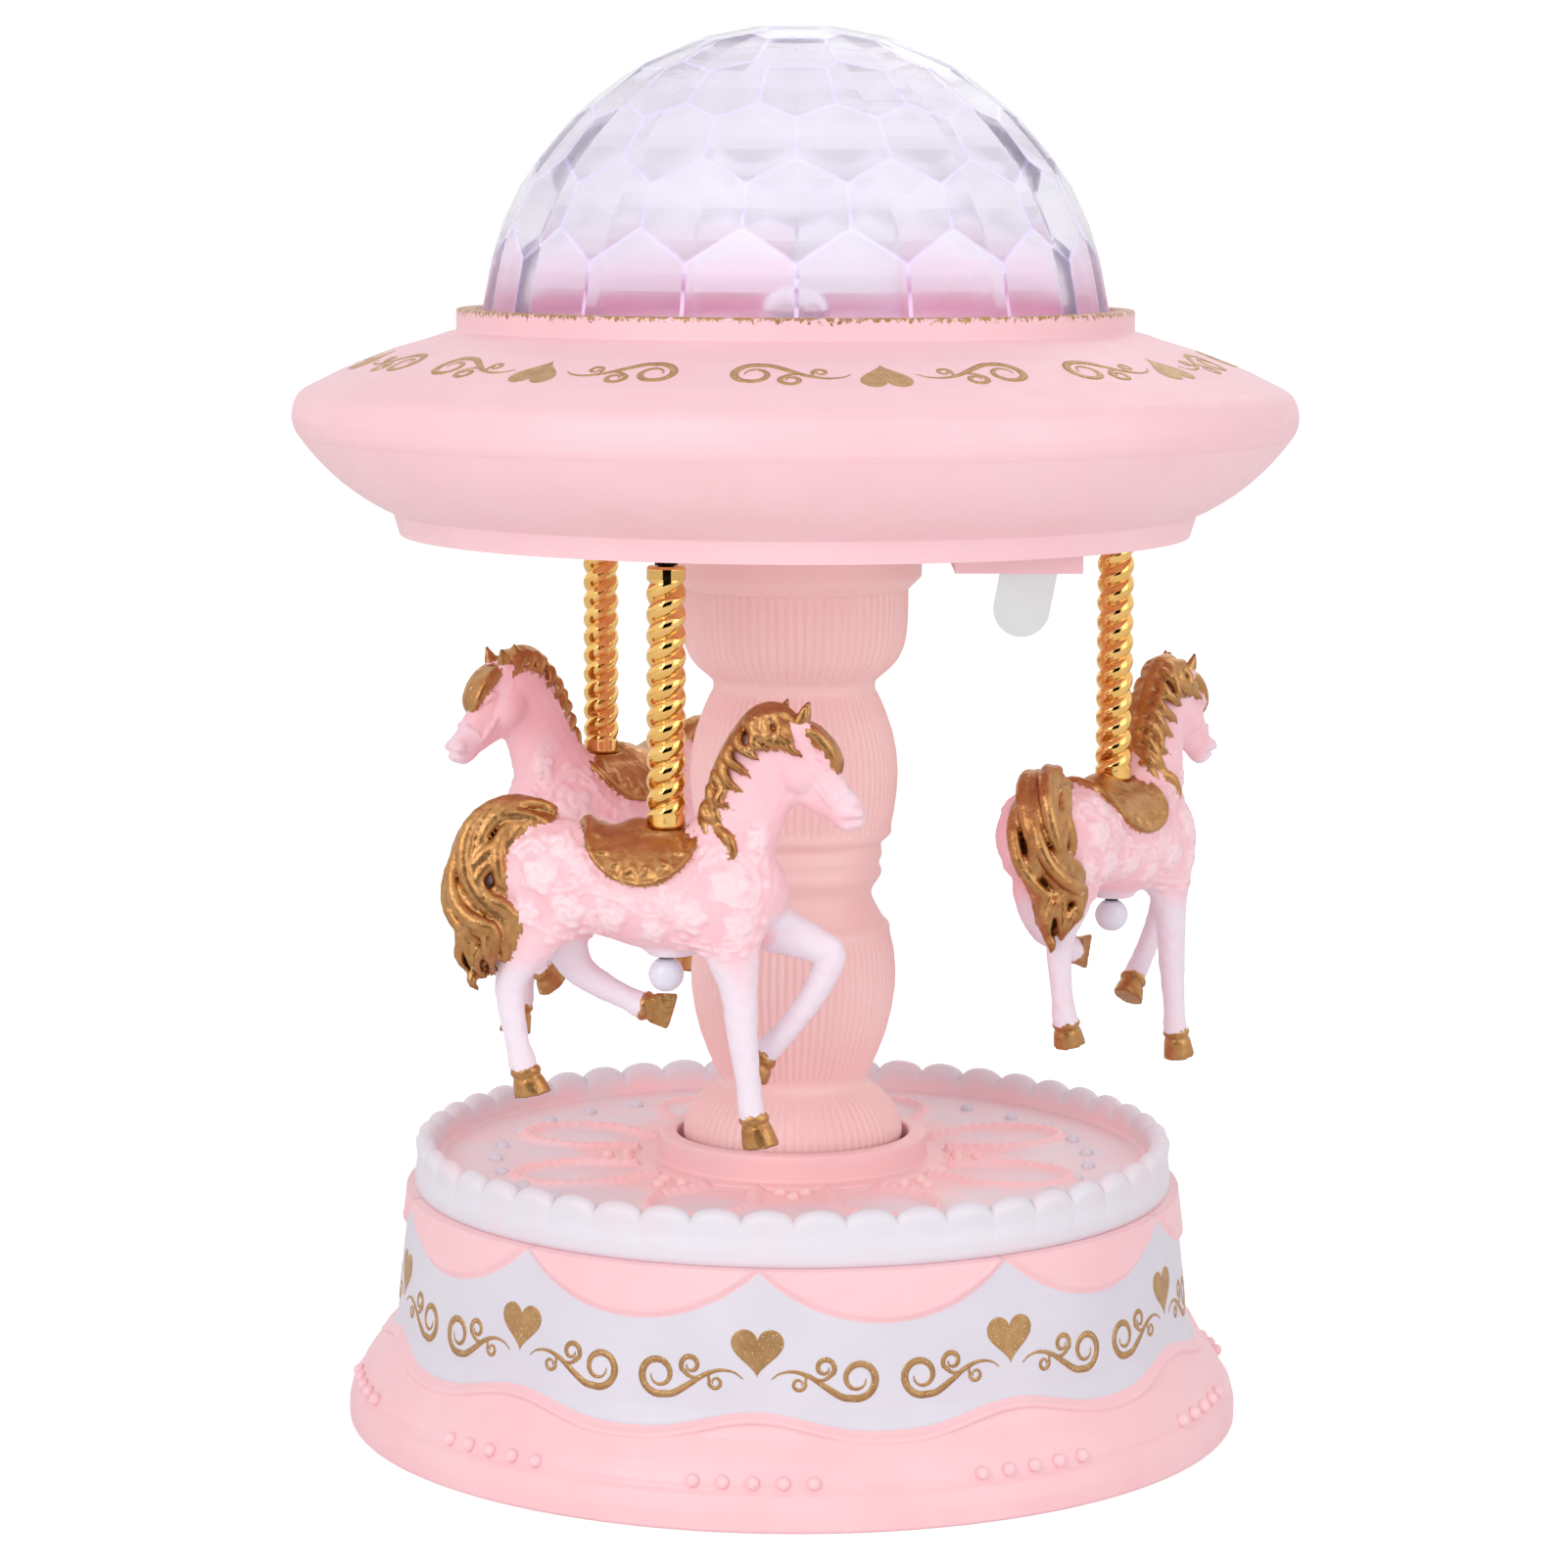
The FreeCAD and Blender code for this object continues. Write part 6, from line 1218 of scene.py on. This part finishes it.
def build_horses():
    points, faces, gold, pale, raised = horse_skin()
    paint = horse_material()
    for i, pole in enumerate(POLES):
        turn = Matrix.Rotation(math.radians(HORSE_HEADING[i]), 4, "Z")
        horse = new_object("painted_horse_%d" % (i + 1), points, faces, [paint])
        add_values(horse, "gold", gold)
        add_values(horse, "pale", pale)
        add_values(horse, "raised", raised)
        horse.data.transform(Matrix.Translation((pole[0] * MM, pole[1] * MM, SADDLE_Z * MM)) @ turn)
        settle(horse, "horse_%d" % (i + 1), "horse_paint", "horse_%d" % (i + 1))


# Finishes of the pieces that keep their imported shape
NODE_FINISH = {
    "canopy_lower": PINK, "battery_door": PINK, "lamp_plate": PINK, "base_cover": COVER, "lamp_lens": LENS,
    "leds": LENS, "pull_tab": FILM, "switch_body": DARK, "switch_knob": DARK, "lamp_board": BOARD,
    "lamp_wires": WIRE, "column_bush": NYLON, "governor_fan": NYLON, "bedplate": CAST, "pin_cylinder": BRASS,
    "cylinder_gear": BRASS, "worm_wheel": BRASS, "spring_barrel": BRASS, "barrel_lid": BRASS,
}


def finish_nodes():
    for node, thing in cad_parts.items():
        if not thing.hide_render:
            thing.data.materials.clear()
            thing.data.materials.append(NODE_FINISH.get(node, STEEL))


# Studio: white world, pale floor, camera as in the photograph, and lamps of (name, place, size, power)
CAMERA_X, CAMERA_Y, CAMERA_Z = -1.2, -533.8, 148.56
PITCH_DEG, ROLL_DEG = 7.631, 0.19
FOCAL_PX, FRAME_PX, SENSOR = 4542.9, 1601, 36.0
LAMPS = [("key", (-0.5, -0.8, 0.60), 0.6, 3.0), ("fill", (0.7, -0.5, 0.40), 0.6, 1.2),
         ("back", (0.2, 0.7, 0.7), 0.6, 0.7), ("front", (-0.1, -0.95, 0.05), 0.5, 1.5)]
LAMP_AIM = Vector((0, 0, 0.08))
WORLD_LIGHT, FLOOR_GLOW, FLOOR_HALF = 0.68, 0.42, 4000.0
CARD_HALF, CARD_LOW, CARD_HIGH, CARD_Y = 330.0, -200.0, 360.0, -620.0


def build_camera(scene):
    data = bpy.data.cameras.new("camera")
    data.sensor_width = SENSOR
    data.lens = FOCAL_PX / FRAME_PX * SENSOR
    scene.camera = bpy.data.objects.new("camera", data)
    scene.collection.objects.link(scene.camera)
    pitch = Matrix.Rotation(math.radians(90 - PITCH_DEG), 4, "X")
    roll = Matrix.Rotation(math.radians(ROLL_DEG), 4, "Z")
    place = Matrix.Translation((CAMERA_X * MM, CAMERA_Y * MM, CAMERA_Z * MM))
    scene.camera.matrix_world = place @ (pitch @ roll)


def build_lights(scene):
    """A world that looks white but lights a little less, and four soft lamps."""
    scene.world = bpy.data.worlds.new("studio")
    scene.world.use_nodes = True
    tree = scene.world.node_tree
    path = tree.nodes.new("ShaderNodeLightPath").outputs
    seen = add_math(tree, "MAXIMUM", path["Is Camera Ray"], path["Is Transmission Ray"])
    seen = add_math(tree, "MAXIMUM", seen, path["Is Glossy Ray"])
    feed(tree, tree.nodes["Background"],
         {"Color": (1, 1, 1), "Strength": add_range(tree, seen, 0.0, 1.0, WORLD_LIGHT, 1.0)})
    for name, place, size, power in LAMPS:
        lamp = bpy.data.lights.new(name, "AREA")
        lamp.size = size
        lamp.energy = power
        light = bpy.data.objects.new(name, lamp)
        light.visible_transmission = False
        scene.collection.objects.link(light)
        light.location = place
        light.rotation_euler = (LAMP_AIM - Vector(place)).to_track_quat("-Z", "Y").to_euler()


def build_studio():
    scene = bpy.context.scene
    scene.view_settings.view_transform = "Standard"
    build_camera(scene)
    build_lights(scene)
    pale, tree, shader = blank_material("pale floor")
    seen = add_node(tree, "LightPath", "Is Camera Ray", {})
    feed(tree, shader, {"Base Color": (0.93, 0.93, 0.93), "Roughness": 0.9, "Emission Color": (1, 1, 1),
                        "Emission Strength": add_range(tree, seen, 0.0, 1.0, 0.0, FLOOR_GLOW)})
    ends = ((-1, -1), (1, -1), (1, 1), (-1, 1))
    corners = [(a * FLOOR_HALF, b * FLOOR_HALF, 0) for a, b in ends]
    floor = new_object("floor", corners, [(0, 1, 2, 3)], [pale])
    black, tree, shader = blank_material("black card")
    feed(tree, shader, {"Base Color": (0.004, 0.004, 0.004), "Specular IOR Level": 0.0})
    corners = [(a * CARD_HALF, CARD_Y, CARD_LOW if b < 0 else CARD_HIGH) for a, b in ends]
    card = new_object("black_card", corners, [(0, 1, 2, 3)], [black])
    card.visible_camera = card.visible_diffuse = card.visible_transmission = card.visible_shadow = False


build_base()
build_skirt_beads()
build_stage()
build_stage_beads()
build_column()
build_canopy()
build_dome()
build_poles()
foil_print("base_foil", SWAGS, HEART_DEG, on_base, (6.0, 5.4), (1.0, 1.0), (0.0, 0.0), "base")
foil_print("canopy_foil", HEARTS_ON_CANOPY, CANOPY_HEART_DEG, on_canopy, (5.7, -5.6), (1.09, -1.04),
           (1.9, -2.7), "carousel")
build_horses()
finish_nodes()
build_studio()
